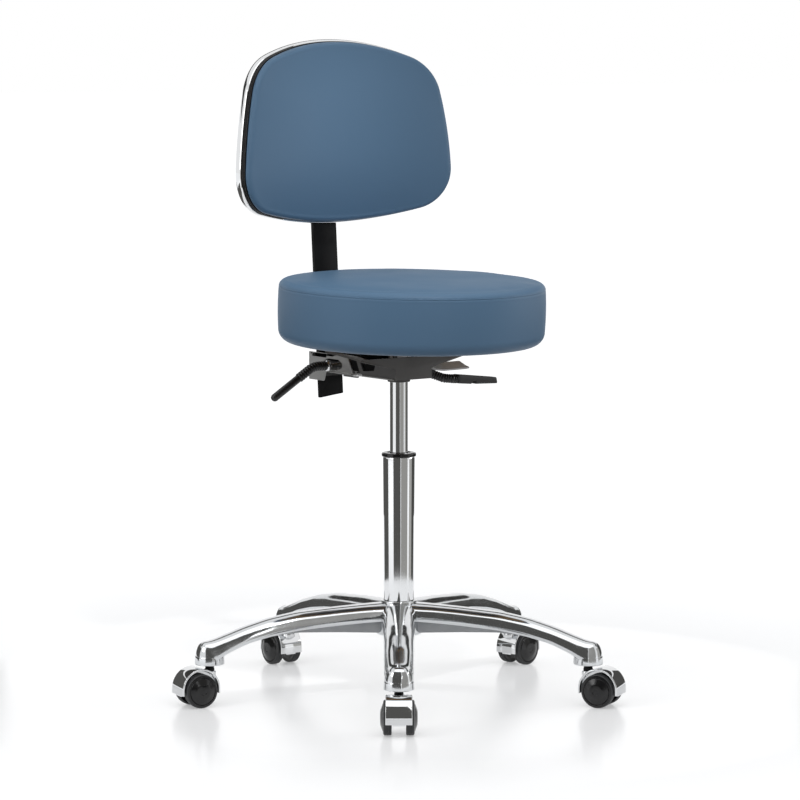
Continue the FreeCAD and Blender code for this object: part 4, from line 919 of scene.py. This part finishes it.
class STOOL_OT_backrest(bpy.types.Operator):
    """Build the backrest: pad, edge strip, bright trim and back shell"""
    bl_idname = "stool.backrest"
    bl_label = "Backrest"

    def execute(self, context):
        self.points, self.normals = back_outline()
        self.middle = self.points.mean(0)
        pad = piece("backrest_upholstery", [reclined(self.pad())], [FINISH["vinyl"]], "backrest",
                    ["backrest_pad"], 60)
        swollen(pad, lambda points, normals: normals[:, 1] > -0.8, PAD_FILL_CAP)
        d = np.linspace(-1, 1, 17)
        outer = np.stack([0.0026 * (1 - np.sqrt(1 - (0.985 * d) ** 2)), 0.007 * d], -1)
        trim = np.concatenate([outer, [(0.005, 0.0068), (0.005, -0.0068)]])
        piece("trim_band", [reclined(self.ring(trim))], [FINISH["chrome"]], "backrest", ["backrest_trim"],
              50)
        strip = np.array([(0.0130, -0.0150), (0.0036, -0.0150), (0.0030, -0.0144), (0.0030, -0.0124),
                          (0.0037, -0.0118), (0.0030, -0.0112), (0.0030, -0.0072), (0.0130, -0.0072)])
        piece("edge_strip", [reclined(self.ring(strip))], [FINISH["rubber"]], "backrest", ["backrest_gasket"],
              40)
        piece("back_cover", [reclined(self.shell()), leaned(self.boss())], [FINISH["plastic"]], "backrest",
              ["backrest_shell"], 40)
        return {"FINISHED"}

    def inset(self, distance):
        """The outline drawn in by a distance along its normals."""
        return self.points - self.normals * distance

    def drawn(self, border, share):
        """A border drawn towards the middle, to a share of its reach."""
        return self.middle + (border - self.middle) * share

    def ring(self, profile):
        """A closed (inset, depth) outline carried round the backrest's edge on its wrap."""
        rows = [wrapped(self.inset(i), depth) for i, depth in profile]
        return surface(np.stack(rows, 1), wrap_rows=True, wrap_cols=True)

    def pad(self):
        """The pad's skin as rings drawn in from the outline: flat rear, round rim, and a front that swells.

        The front lies on a wide upright cylinder, thick in the middle of the back and thinner at the sides,
        bowed from top to bottom by a parabola, and sinks towards the rim by a share of its thickness that
        grows as the square of the closeness to the rim.
        """
        rear, thick, thin, half = -0.0153, 0.030, 0.014, 0.203
        rim_inset, rim_round = 0.0040, 0.0085
        slope_width, slope_share, bow_share, bow_level, bow_half = 0.090, 0.40, 0.12, 0.885, 0.13
        sag = WRAP_RADIUS - math.sqrt(WRAP_RADIUS ** 2 - half ** 2) - (thick - thin)
        front_radius = circle_through(half, sag)
        front_y = BACK_PIVOT[1] + rear - thick

        def front(flat, edge):
            y = front_y - front_radius + np.sqrt(front_radius ** 2 - flat[..., 0] ** 2)
            deep = wrapped(flat, rear)[..., 1] - y
            near = 1 - np.clip(edge / slope_width, 0, 1)
            bow = bow_share * ((flat[..., 1] - bow_level) / bow_half) ** 2
            return np.stack([flat[..., 0], y + deep * (slope_share * near ** 2 + bow), flat[..., 1]], -1)

        border = self.inset(rim_inset + rim_round)
        reach = np.linalg.norm(border - self.middle, axis=1)
        start = self.inset(rim_inset)
        rows = [wrapped(self.drawn(start, k), rear) for k in (0, 0.5, 0.9)]
        rim_front = front(border, rim_round)
        rim_rear = wrapped(self.inset(0.0052), rear)
        side = wrapped(self.inset(rim_inset), rear - 0.002)
        rows += [wrapped(self.inset(0.0065), rear), rim_rear, side]
        bulge = side.copy()
        bulge[:, 1] += (rim_front[:, 1] - bulge[:, 1]) * 0.30
        for turn in np.linspace(0, np.pi / 2, 9):
            inset = wrapped(self.inset(rim_inset + rim_round * (1 - math.cos(turn))), rear)
            inset[:, 1] = bulge[:, 1] + (rim_front[:, 1] - bulge[:, 1]) * math.sin(turn)
            rows.append(inset)
        for k in np.linspace(1, 0, 70)[1:]:
            rows.append(front(self.drawn(border, k), rim_round + (1 - k) * reach))
        return surface(np.stack(rows, 1), wrap_rows=True)

    def shell(self):
        """Back shell as rings: hidden front, rounded rim, a shallow step and a plain panel inside it."""
        border = self.inset(0.0051)
        rows = [wrapped(self.drawn(border, k), -0.0068) for k in (0, 0.5, 0.98)]
        rows += [wrapped(border, d) for d in (-0.0060, 0.0, 0.0052)]
        rows += [wrapped(self.inset(i), d) for i, d in
                 ((0.0056, 0.0062), (0.0068, 0.0068), (0.0200, 0.0069), (0.0208, 0.0065), (0.0214, 0.0058),
                  (0.0222, 0.0053), (0.0240, 0.0052))]
        inner = self.inset(0.0240)
        rows += [wrapped(self.drawn(inner, k), 0.0052) for k in np.linspace(1, 0, 24)[1:]]
        return surface(np.stack(rows, 1), wrap_rows=True)

    @staticmethod
    def boss():
        """Block behind the shell that meets the metal bracket, with rounded upright edges."""
        outline = box_outline(0.092, 0.110, 0.008) + (0, BACK_PIVOT[2])
        return slab(outline, BACK_PIVOT[1], 0.175, 0.0015, upright)


class STOOL_OT_upright(bpy.types.Operator):
    """Build the flat upright bar"""
    bl_idname = "stool.upright"
    bl_label = "Upright bar"

    def execute(self, context):
        width, depth, foot, top, slant = 0.045, 0.008, 0.450, 0.900, 0.005
        outline = box_outline(width, depth, 0.0015) + (0, BAR_PIVOT[1])

        def lift(flat, level):
            rise = slant * (flat[:, 0] / width + 0.5) * (level < (foot + top) / 2)
            return np.stack([flat[:, 0], flat[:, 1], level + rise], -1)

        bar = slab(outline, foot, top, 0.0008, lift)
        piece("upright_bar", [leaned(bar)], [FINISH["paint"]], "backrest", ["back_bar"], 30)
        return {"FINISHED"}


def bent_line(corners, radius, step=0.001):
    """Straight runs through 3-D corners with a round of one radius at each bend, evenly spaced."""
    corners = np.array(corners, float)
    out = [corners[:1]]
    for before, corner, after in zip(corners, corners[1:], corners[2:]):
        back = (before - corner) / np.linalg.norm(before - corner)
        ahead = (after - corner) / np.linalg.norm(after - corner)
        half = (math.pi - math.acos(np.clip(back @ ahead, -1, 1))) / 2
        reach = radius * math.tan(half)
        middle = corner + (back + ahead) / np.linalg.norm(back + ahead) * radius / math.cos(half)
        start, end = corner + back * reach - middle, corner + ahead * reach - middle
        t = np.linspace(0, 1, 24)[:, None]
        arc = (np.sin((1 - t) * 2 * half) * start + np.sin(t * 2 * half) * end) / math.sin(2 * half)
        out.append(middle + arc)
    out.append(corners[-1:])
    line = np.concatenate(out)
    total = length_of(line)
    return spaced(line, np.linspace(0, total, int(total / step) + 1))


def stretch_of(line, start, end, count):
    """Part of a line between two distances along it."""
    return spaced(line, np.linspace(start, end, count))


def ribbed(line, start, end, radius, depth, ribs, side):
    """A round sleeve on part of a line, of a radius at each rib's middle and less by a depth between ribs."""
    count = 14 * ribs + 1
    s = np.linspace(0, 1, count)
    wave = np.abs(np.sin(np.pi * ribs * s)) ** 0.7
    size = radius - depth * (1 - wave)
    return capped(stretch_of(line, start, end, count), circle(1.0, 28), side, size)


class STOOL_OT_levers(bpy.types.Operator):
    """Build the boots, grips and blade of the three levers"""
    bl_idname = "stool.levers"
    bl_label = "Levers"

    def execute(self, context):
        self.back_lever()
        self.tilt_lever()
        self.height_lever()
        return {"FINISHED"}

    @staticmethod
    def back_lever():
        """Boot and grip along the rear lever's bent rod; the grip ends in a dome."""
        line = bent_line([(-0.0105, 0.130, 0.506), (-0.070, 0.130, 0.506), (-0.143, 0.130, 0.462)], 0.034)
        start, boot, radius = 0.0355, 0.056, 0.0062
        piece("back_lever_bellows", [ribbed(line, start, start + boot, 0.0076, 0.0014, 12, (0, 1, 0))],
              [FINISH["boot"]], "lever_back", ["back_lever_boot"], 70)
        ring = capped(stretch_of(line, 0.0280, 0.0352, 8), circle(1.0, 32), (0, 1, 0),
                      np.array((0.0068, 0.0080, 0.0084, 0.0084, 0.0084, 0.0084, 0.0082, 0.0070)))
        piece("back_lever_collar", [ring], [FINISH["chrome"]], "lever_back", [], 40)
        total = length_of(line)
        ahead = (line[-1] - line[-2]) / np.linalg.norm(line[-1] - line[-2])
        stations = np.linspace(start + boot, total, 40)
        dome = np.linspace(0, np.pi / 2, 12)[1:]
        path = np.concatenate([spaced(line, stations), line[-1] + ahead * radius * np.sin(dome)[:, None]])
        size = np.concatenate([np.full(40, radius), radius * np.cos(dome)])
        size[:3] = radius - np.array((0.0006, 0.0002, 0))
        grip = capped(path, circle(1.0, 32), (0, 1, 0), size)
        piece("back_lever_handle", [grip], [FINISH["boot"]], "lever_back", ["back_lever_grip"],
              60)

    @staticmethod
    def tilt_lever():
        """Ribbed boot that dips from the housing to the flat notched paddle of the front lever."""
        paddle_y, spine_start, spine_end, spine_top, fall = -0.043, 0.085, 0.145, 0.4925, 0.105
        line = bent_line([(0.0372, -0.028, 0.5025), (0.0455, -0.0285, 0.4992), (0.0580, -0.0375, 0.4937),
                          (0.0695, paddle_y, 0.4925), (0.0790, paddle_y, 0.4917)], 0.007)
        piece("tilt_lever_bellows", [ribbed(line, 0, length_of(line), 0.0072, 0.0012, 13, (0, 1, 0))],
              [FINISH["boot"]], "lever_tilt", ["tilt_lever_boot"], 70)
        outline = rounded([(0.100, 0.4830, 0), (0.1035, 0.4826, 0.0015), (0.1080, 0.4875, 0.0010),
                           (0.1125, 0.4872, 0.0010), (0.1128, 0.4822, 0.0010), (0.1555, 0.4806, 0.0018),
                           (0.1535, 0.4906, 0.0025), (0.0780, 0.4992, 0.0015), (0.0780, 0.4850, 0.0015),
                           (0.100, 0.4830, 0)], 6)
        outline = spaced(outline, np.linspace(0, length_of(outline), 320, endpoint=False))
        levels = [(-0.0075, 0.0016), (-0.0073, 0.0008), (-0.0067, 0.0002), (-0.0058, 0), (0.0058, 0),
                  (0.0067, 0.0002), (0.0073, 0.0008), (0.0075, 0.0016)]
        spine_x = outline[:, 0].clip(spine_start, spine_end)
        spine = np.stack([spine_x, spine_top - fall * (spine_x - spine_start)], -1)
        inward = unit(spine - outline)
        rows = []
        for y, inset in [(-0.0075, None)] + levels + [(0.0075, None)]:
            flat = spine if inset is None else outline + inward * inset
            rows.append(upright(flat, paddle_y + y))
        along, ridges = np.linspace(0.117, 0.147, 12), []
        for rise in (-0.0060, -0.0025):
            crest = np.stack([along, np.full(12, -0.0500), 0.4905 - 0.06 * (along - 0.120) + rise], -1)
            ridges.append(capped(crest, box_outline(0.0014, 0.0012, 0.0004), (0, 1, 0)))
        piece("tilt_lever_handle", [surface(np.stack(rows, 1), wrap_rows=True)] + ridges, [FINISH["plastic"]],
              "lever_tilt", ["tilt_lever_paddle"], 50)

    @staticmethod
    def height_lever():
        """Pressed blade: a flat strip from the valve through the wall, twisted forward, with a bent tip."""
        line = bent_line([(-0.005, -0.002, 0.5318), (0.0255, -0.002, 0.5318), (0.0255, -0.002, 0.507),
                          (0.060, -0.002, 0.507), (0.1262, -0.002, 0.5078), (0.1280, -0.002, 0.5040)], 0.0022)
        root_width, widening, thickness, twist = 0.016, 0.009, 0.0028, math.radians(20)
        twist_start, twist_run, outside_below = 0.040, 0.040, 0.520
        out = np.clip((line[:, 0] - twist_start) / twist_run, 0, 1) * (line[:, 2] < outside_below)
        lean = twist * out ** 2 * (3 - 2 * out)
        blade = box_outline(1, 1, 0.02)
        ahead = unit(np.gradient(line, axis=0))
        across = square_to(np.stack([np.zeros(len(line)), np.cos(lean), np.sin(lean)], -1), ahead)
        width = root_width + widening * out
        normal = np.cross(ahead, across)
        section = (blade[None, :, :1] * (width[:, None] * across)[:, None]
                   + blade[None, :, 1:] * (thickness * normal)[:, None])
        points = line[:, None] + section
        ends = [np.broadcast_to(line[[i], None], (1,) + points.shape[1:]) for i in (0, -1)]
        points = np.concatenate([ends[0], points, ends[1]])
        piece("height_lever_blade", [surface(points, wrap_cols=True)], [FINISH["blade"]], "lever_height",
              ["height_lever"], 35)


class STOOL_OT_mechanism(bpy.types.Operator):
    """Ease the edges of the pressed steel pieces under the seat and build the knob"""
    bl_idname = "stool.mechanism"
    bl_label = "Mechanism"

    def execute(self, context):
        edge = context.scene.stool_sizes.edge_break
        for node, finish, body, slot in (
                ("mechanism_housing", "dark", "lift", "black_steel"),
                ("taper_socket", "dark", "lift", "black_steel"),
                ("back_bracket", "grey", "bracket", "grey_steel"),
                ("bar_guide", "plastic", "bracket", "black_plastic"),
                ("seat_plate", "dark", "seat", "black_steel"),
                ("backrest_bracket", "dark", "backrest", "black_steel")):
            eased(node, FINISH[finish], body, edge)
        for name, finish, body, left, right, low_y, high_y, low_z, high_z in (
                # Near-black boxes inside the housing and bracket, behind their windows: painted shade that
                # makes the windows read dark
                ("inner_shade_block", "shade_fill", "lift", -0.024, 0.024, 0.012, 0.060, 0.4985, 0.531),
                ("centre_shade_web", "shade_fill", "bracket", -0.006, 0.006, 0.076, 0.170, 0.509, 0.530),
                ("side_shade_sheet_right", "shade_fill", "lift", -0.0316, -0.0308, 0.009, 0.092, 0.5012, 0.5215),
                ("side_shade_sheet_left", "shade_fill", "lift", 0.0308, 0.0316, 0.009, 0.092, 0.5012, 0.5215),
                # Grey lips on the dark housing: a painted highlight along its lower edge; the bracket lips
                # keep the bracket's own grey
                ("housing_lip_highlight_right", "grey", "lift", -0.0376, -0.0346, -0.034, 0.046, 0.4950, 0.4968),
                ("housing_lip_highlight_left", "grey", "lift", 0.0346, 0.0376, -0.010, 0.046, 0.4950, 0.4968),
                ("bracket_lip_right", "grey", "bracket", -0.0376, -0.0346, 0.074, 0.146, 0.4950, 0.4968),
                ("bracket_lip_left", "grey", "bracket", 0.0346, 0.0376, 0.074, 0.146, 0.4950, 0.4968)):
            outline = np.array([(low_y, low_z), (high_y, low_z), (high_y, high_z), (low_y, high_z)])
            box = slab(outline, left, right, 0.0004, sideways)
            piece(name, [box], [FINISH[finish]], body, [],
                  30)
        self.knob()
        return {"FINISHED"}

    @staticmethod
    def knob():
        """Turned knob whose rim is drawn in by a cosine of the turn, which gives its flutes."""
        lo, hi = low("tension_knob"), high("tension_knob")
        radius = (hi[0] - lo[0]) / 2
        turn = np.linspace(0, 2 * np.pi, 144, endpoint=False)
        spot = ((lo + hi) / 2)[:2]
        rim = lo[2] + 0.005
        outline = rounded([(0, lo[2] + 0.0004, 0), (0.0085, lo[2] + 0.0003, 0.001), (0.0095, lo[2], 0.001),
                           (radius - 0.0003, lo[2] + 0.0002, 0.0012), (radius, rim - 0.0008, 0.0008),
                           (radius - 0.001, rim, 0.0003), (0.004, rim, 0), (0.004, hi[2] - 0.0005, 0.0004),
                           (0, hi[2], 0)], 5)
        flute = 1 - 0.022 * (0.5 + 0.5 * np.cos(24 * turn))[:, None] * (outline[None, :, 0] > radius - 0.0008)
        points = np.empty((144, len(outline), 3))
        points[..., 0] = spot[0] + np.cos(turn)[:, None] * outline[None, :, 0] * flute
        points[..., 1] = spot[1] + np.sin(turn)[:, None] * outline[None, :, 0] * flute
        points[..., 2] = outline[None, :, 1]
        piece("knob", [surface(points, wrap_rows=True)], [FINISH["steel"]], "knob", ["tension_knob"],
              40)


class STOOL_OT_inner(bpy.types.Operator):
    """Give the pieces inside the stool their own finishes"""
    bl_idname = "stool.inner"
    bl_label = "Inner pieces"

    def execute(self, context):
        axles = ["caster_%d_axle" % k for k in range(1, LEGS + 1)]
        groups = {
            "steel": ["thrust_bearing", "rod_clip", "valve_pin", "tilt_axle", "back_axle", "seat_bolts",
                      "backrest_screws", "tilt_lever", "back_lever", *axles],
            "chrome": ["piston_rod"],
            "plastic": ["piston"],
            "wood": ["seat_board", "backrest_board"],
        }
        for finish, nodes in groups.items():
            for node in nodes:
                materials = frame["nodes"][node].data.materials
                materials.clear()
                materials.append(FINISH[finish])
        return {"FINISHED"}


class STOOL_OT_finishes(bpy.types.Operator):
    """Make the procedural finishes"""
    bl_idname = "stool.finishes"
    bl_label = "Finishes"

    def execute(self, context):
        FINISH.update(make_finishes(context.scene.stool_colours))
        return {"FINISHED"}


def seen_directly(tree):
    """One for camera, mirror and glass rays, and nought for the rays that carry light."""
    path = tree.nodes.new("ShaderNodeLightPath")
    first = tree.nodes.new("ShaderNodeMath")
    first.operation = "MAXIMUM"
    second = tree.nodes.new("ShaderNodeMath")
    second.operation = "MAXIMUM"
    tree.links.new(path.outputs["Is Camera Ray"], first.inputs[0])
    tree.links.new(path.outputs["Is Glossy Ray"], first.inputs[1])
    tree.links.new(first.outputs["Value"], second.inputs[0])
    tree.links.new(path.outputs["Is Transmission Ray"], second.inputs[1])
    return second.outputs["Value"]


def facing(place, target):
    """Rotation of a lamp or camera at a place that looks at a target."""
    return (Vector(target) - Vector(place)).to_track_quat("-Z", "Y").to_euler()


class STOOL_OT_stage(bpy.types.Operator):
    """Set up the floor, the studio light and the camera"""
    bl_idname = "stool.stage"
    bl_label = "Stage"

    def execute(self, context):
        studio = context.scene.stool_studio
        self.world(context.scene)
        items = [self.floor(), *self.lamps(studio), *self.screens(studio), self.camera(context.scene, studio)]
        for item in items:
            context.scene.collection.objects.link(item)
        context.scene.view_settings.view_transform = "Standard"
        return {"FINISHED"}

    @staticmethod
    def world(scene):
        """White to the camera and in mirrors, and a dimmer, cooler sky to every ray that carries light."""
        scene.world = bpy.data.worlds.new("studio")
        scene.world.use_nodes = True
        tree = scene.world.node_tree
        tree.nodes.clear()
        seen = tree.nodes.new("ShaderNodeBackground")
        seen.inputs["Color"].default_value = (1, 1, 1, 1)
        seen.inputs["Strength"].default_value = 1.0
        light = tree.nodes.new("ShaderNodeBackground")
        light.inputs["Color"].default_value = (0.97, 0.985, 1, 1)
        light.inputs["Strength"].default_value = 0.48
        mix = tree.nodes.new("ShaderNodeMixShader")
        out = tree.nodes.new("ShaderNodeOutputWorld")
        tree.links.new(seen_directly(tree), mix.inputs["Fac"])
        tree.links.new(light.outputs["Background"], mix.inputs[1])
        tree.links.new(seen.outputs["Background"], mix.inputs[2])
        tree.links.new(mix.outputs["Shader"], out.inputs["Surface"])

    @staticmethod
    def floor():
        """A wide pale level square, whose faint sheen fades outside the base and whose glow grows there,
        which leaves a painted shade on the floor round the base.
        """
        mesh = bpy.data.meshes.new("floor")
        mesh.from_pydata([(-40, -40, 0), (40, -40, 0), (40, 40, 0), (-40, 40, 0)], [], [(0, 1, 2, 3)])
        material = finish_material("pale floor", (0.90, 0.90, 0.905), 0.0, (0.16, 0.24), 3.0,
                                   (60.0, 0.01, 0.0005), 0.006)
        tree = material.node_tree
        shader = tree.nodes["Principled BSDF"]
        place = tree.nodes.new("ShaderNodeTexCoord")
        away = tree.nodes.new("ShaderNodeVectorMath")
        away.operation = "LENGTH"
        tree.links.new(place.outputs["Object"], away.inputs[0])
        sheen = spread(tree, away.outputs["Value"], 0.16, 0.0, 0.42, 0.72)
        tree.links.new(sheen, shader.inputs["Specular IOR Level"])
        shader.inputs["Emission Color"].default_value = (1, 1, 1, 1)
        # Weaker glow within half a metre of the column, growing out to two metres: painted shade on the floor
        # round the stool
        tree.links.new(spread(tree, away.outputs["Value"], 0.28, 0.52, 0.5, 2.0),
                       shader.inputs["Emission Strength"])
        dim = tree.nodes.new("ShaderNodeBsdfDiffuse")
        dim.inputs["Color"].default_value = (0.42, 0.42, 0.43, 1)
        mix = tree.nodes.new("ShaderNodeMixShader")
        tree.links.new(seen_directly(tree), mix.inputs["Fac"])
        tree.links.new(dim.outputs["BSDF"], mix.inputs[1])
        tree.links.new(shader.outputs["BSDF"], mix.inputs[2])
        tree.links.new(mix.outputs["Shader"], tree.nodes["Material Output"].inputs["Surface"])
        mesh.materials.append(material)
        return bpy.data.objects.new("floor", mesh)

    @staticmethod
    def lamps(studio):
        """A very soft overhead sun, three softboxes for shape, and spots on the backrest and the seat."""
        sun = bpy.data.lights.new("overhead", "SUN")
        sun.energy = 0.5
        sun.angle = math.radians(60)
        overhead = bpy.data.objects.new("overhead", sun)
        overhead.rotation_euler = facing((-0.4, -1.0, 3), (0, 0, 0))
        lamps = [overhead]
        for name, place, width, height, share in (
                ("key_box", (-2.9, 0.2, 1.7), 1.4, 1.4, 1.2), ("front_box", (-0.8, -3.0, 1.3), 0.8, 0.8, 0.4),
                ("fill_box", (2.7, -1.3, 1.05), 1.5, 0.8, 0.8)):
            box = bpy.data.lights.new(name, "AREA")
            box.shape = "RECTANGLE"
            box.size = width
            box.size_y = height
            box.energy = studio.key_power * share
            lamp = bpy.data.objects.new(name, box)
            lamp.location = place
            lamp.rotation_euler = facing(place, (0, 0, 0.6))
            lamps.append(lamp)
        for name, place, target, cone, blend, share in (
                ("back_spot", (-0.7, -2.9, 1.02), (-0.03, 0.13, 0.915), 6.5, 1.0, 9),
                ("seat_spot", (-0.6, -1.8, 3.0), (-0.05, -0.02, 0.65), 14, 0.6, 8)):
            spot = bpy.data.lights.new(name, "SPOT")
            spot.energy = studio.key_power * share
            spot.spot_size = math.radians(cone)
            spot.spot_blend = blend
            spot.shadow_soft_size = 0.15
            lamp = bpy.data.objects.new(name, spot)
            lamp.location = place
            lamp.rotation_euler = facing(place, target)
            lamps.append(lamp)
        return lamps

    @staticmethod
    def screens(studio):
        """Dim screens that only mirrors see, which give bright metal its dark bands.

        Each is a strip of an upright cylinder round the column, placed by its turn from the camera, its
        width, its foot and head, its radius and how bright it is.
        """
        screens = []
        for k, (turn, width, foot, head, radius, level) in enumerate((
                (-14, 52, 0.0, 1.5, 1.1, 0.10), (40, 50, 0.0, 1.3, 1.1, 0.36),
                (-111, 58, 0.0, 0.5, 1.1, 0.10), (92, 26, 0.0, 0.5, 1.1, 0.45),
                (122, 34, 0.0, 0.5, 1.1, 0.08), (-141, 28, 0.0, 0.5, 2.0, 0.12),
                (141, 28, 0.0, 0.5, 2.0, 0.12), (180, 150, 1.25, 2.1, 2.4, 0.05))):
            dim = bpy.data.materials.new("screen_%d" % k)
            dim.use_nodes = True
            shader = dim.node_tree.nodes["Principled BSDF"]
            shader.inputs["Base Color"].default_value = (0, 0, 0, 1)
            shader.inputs["Specular IOR Level"].default_value = 0.0
            shader.inputs["Emission Color"].default_value = (1, 0.985, 0.94, 1)
            shader.inputs["Emission Strength"].default_value = level
            t = studio.azimuth + np.radians(turn + width * np.linspace(-0.5, 0.5, 17))
            rim = radius * np.stack([np.sin(t), -np.cos(t)], -1)
            points = np.stack([np.concatenate([rim, np.full((17, 1), z)], 1) for z in (foot, head)], 1)
            mesh = bpy.data.meshes.new("screen_%d" % k)
            mesh.from_pydata(points.reshape(-1, 3), [], grid_faces(17, 2))
            mesh.materials.append(dim)
            screen = bpy.data.objects.new("screen_%d" % k, mesh)
            screen.visible_camera = False
            screen.visible_diffuse = False
            screen.visible_shadow = False
            screen.visible_transmission = False
            screens.append(screen)
        return screens

    @staticmethod
    def camera(scene, studio):
        """The camera on its circle round the column, level across and tilted down by the pitch."""
        lens = bpy.data.cameras.new("camera")
        lens.sensor_width = SENSOR_WIDTH
        lens.lens = studio.focal_pixels * SENSOR_WIDTH / FRAME_PIXELS
        lens.shift_x = studio.shift
        lens.clip_end = 60.0
        camera = bpy.data.objects.new("camera", lens)
        east, north = math.sin(studio.azimuth), -math.cos(studio.azimuth)
        camera.location = (studio.distance * east, studio.distance * north, studio.height)
        level = math.cos(studio.pitch)
        ahead = Vector((-east * level, -north * level, -math.sin(studio.pitch)))
        camera.rotation_euler = ahead.to_track_quat("-Z", "Y").to_euler()
        scene.camera = camera
        return camera


STEPS = (STOOL_OT_finishes, STOOL_OT_base, STOOL_OT_column, STOOL_OT_casters, STOOL_OT_seat,
         STOOL_OT_backrest, STOOL_OT_upright, STOOL_OT_levers, STOOL_OT_mechanism, STOOL_OT_inner,
         STOOL_OT_stage)


class STOOL_PT_panel(bpy.types.Panel):
    """Sizes, colours and build steps of the stool"""
    bl_idname = "STOOL_PT_panel"
    bl_label = "Clinic stool"
    bl_space_type = "VIEW_3D"
    bl_region_type = "UI"
    bl_category = "Stool"

    def draw(self, context):
        for group in (context.scene.stool_sizes, context.scene.stool_colours, context.scene.stool_studio):
            box = self.layout.box()
            for name in group.__annotations__:
                box.prop(group, name)
        for step in STEPS:
            self.layout.operator(step.bl_idname)


CLASSES = (StoolSizes, StoolColours, StudioSettings, *STEPS, STOOL_PT_panel)


def register():
    for item in CLASSES:
        bpy.utils.register_class(item)
    bpy.types.Scene.stool_sizes = bpy.props.PointerProperty(type=StoolSizes)
    bpy.types.Scene.stool_colours = bpy.props.PointerProperty(type=StoolColours)
    bpy.types.Scene.stool_studio = bpy.props.PointerProperty(type=StudioSettings)


def unregister():
    del bpy.types.Scene.stool_studio
    del bpy.types.Scene.stool_colours
    del bpy.types.Scene.stool_sizes
    for item in reversed(CLASSES):
        bpy.utils.unregister_class(item)


def main():
    register()
    for step in STEPS:
        area, name = step.bl_idname.split(".")
        getattr(getattr(bpy.ops, area), name)()
    bpy.context.view_layer.update()


if __name__ == "__main__":
    main()
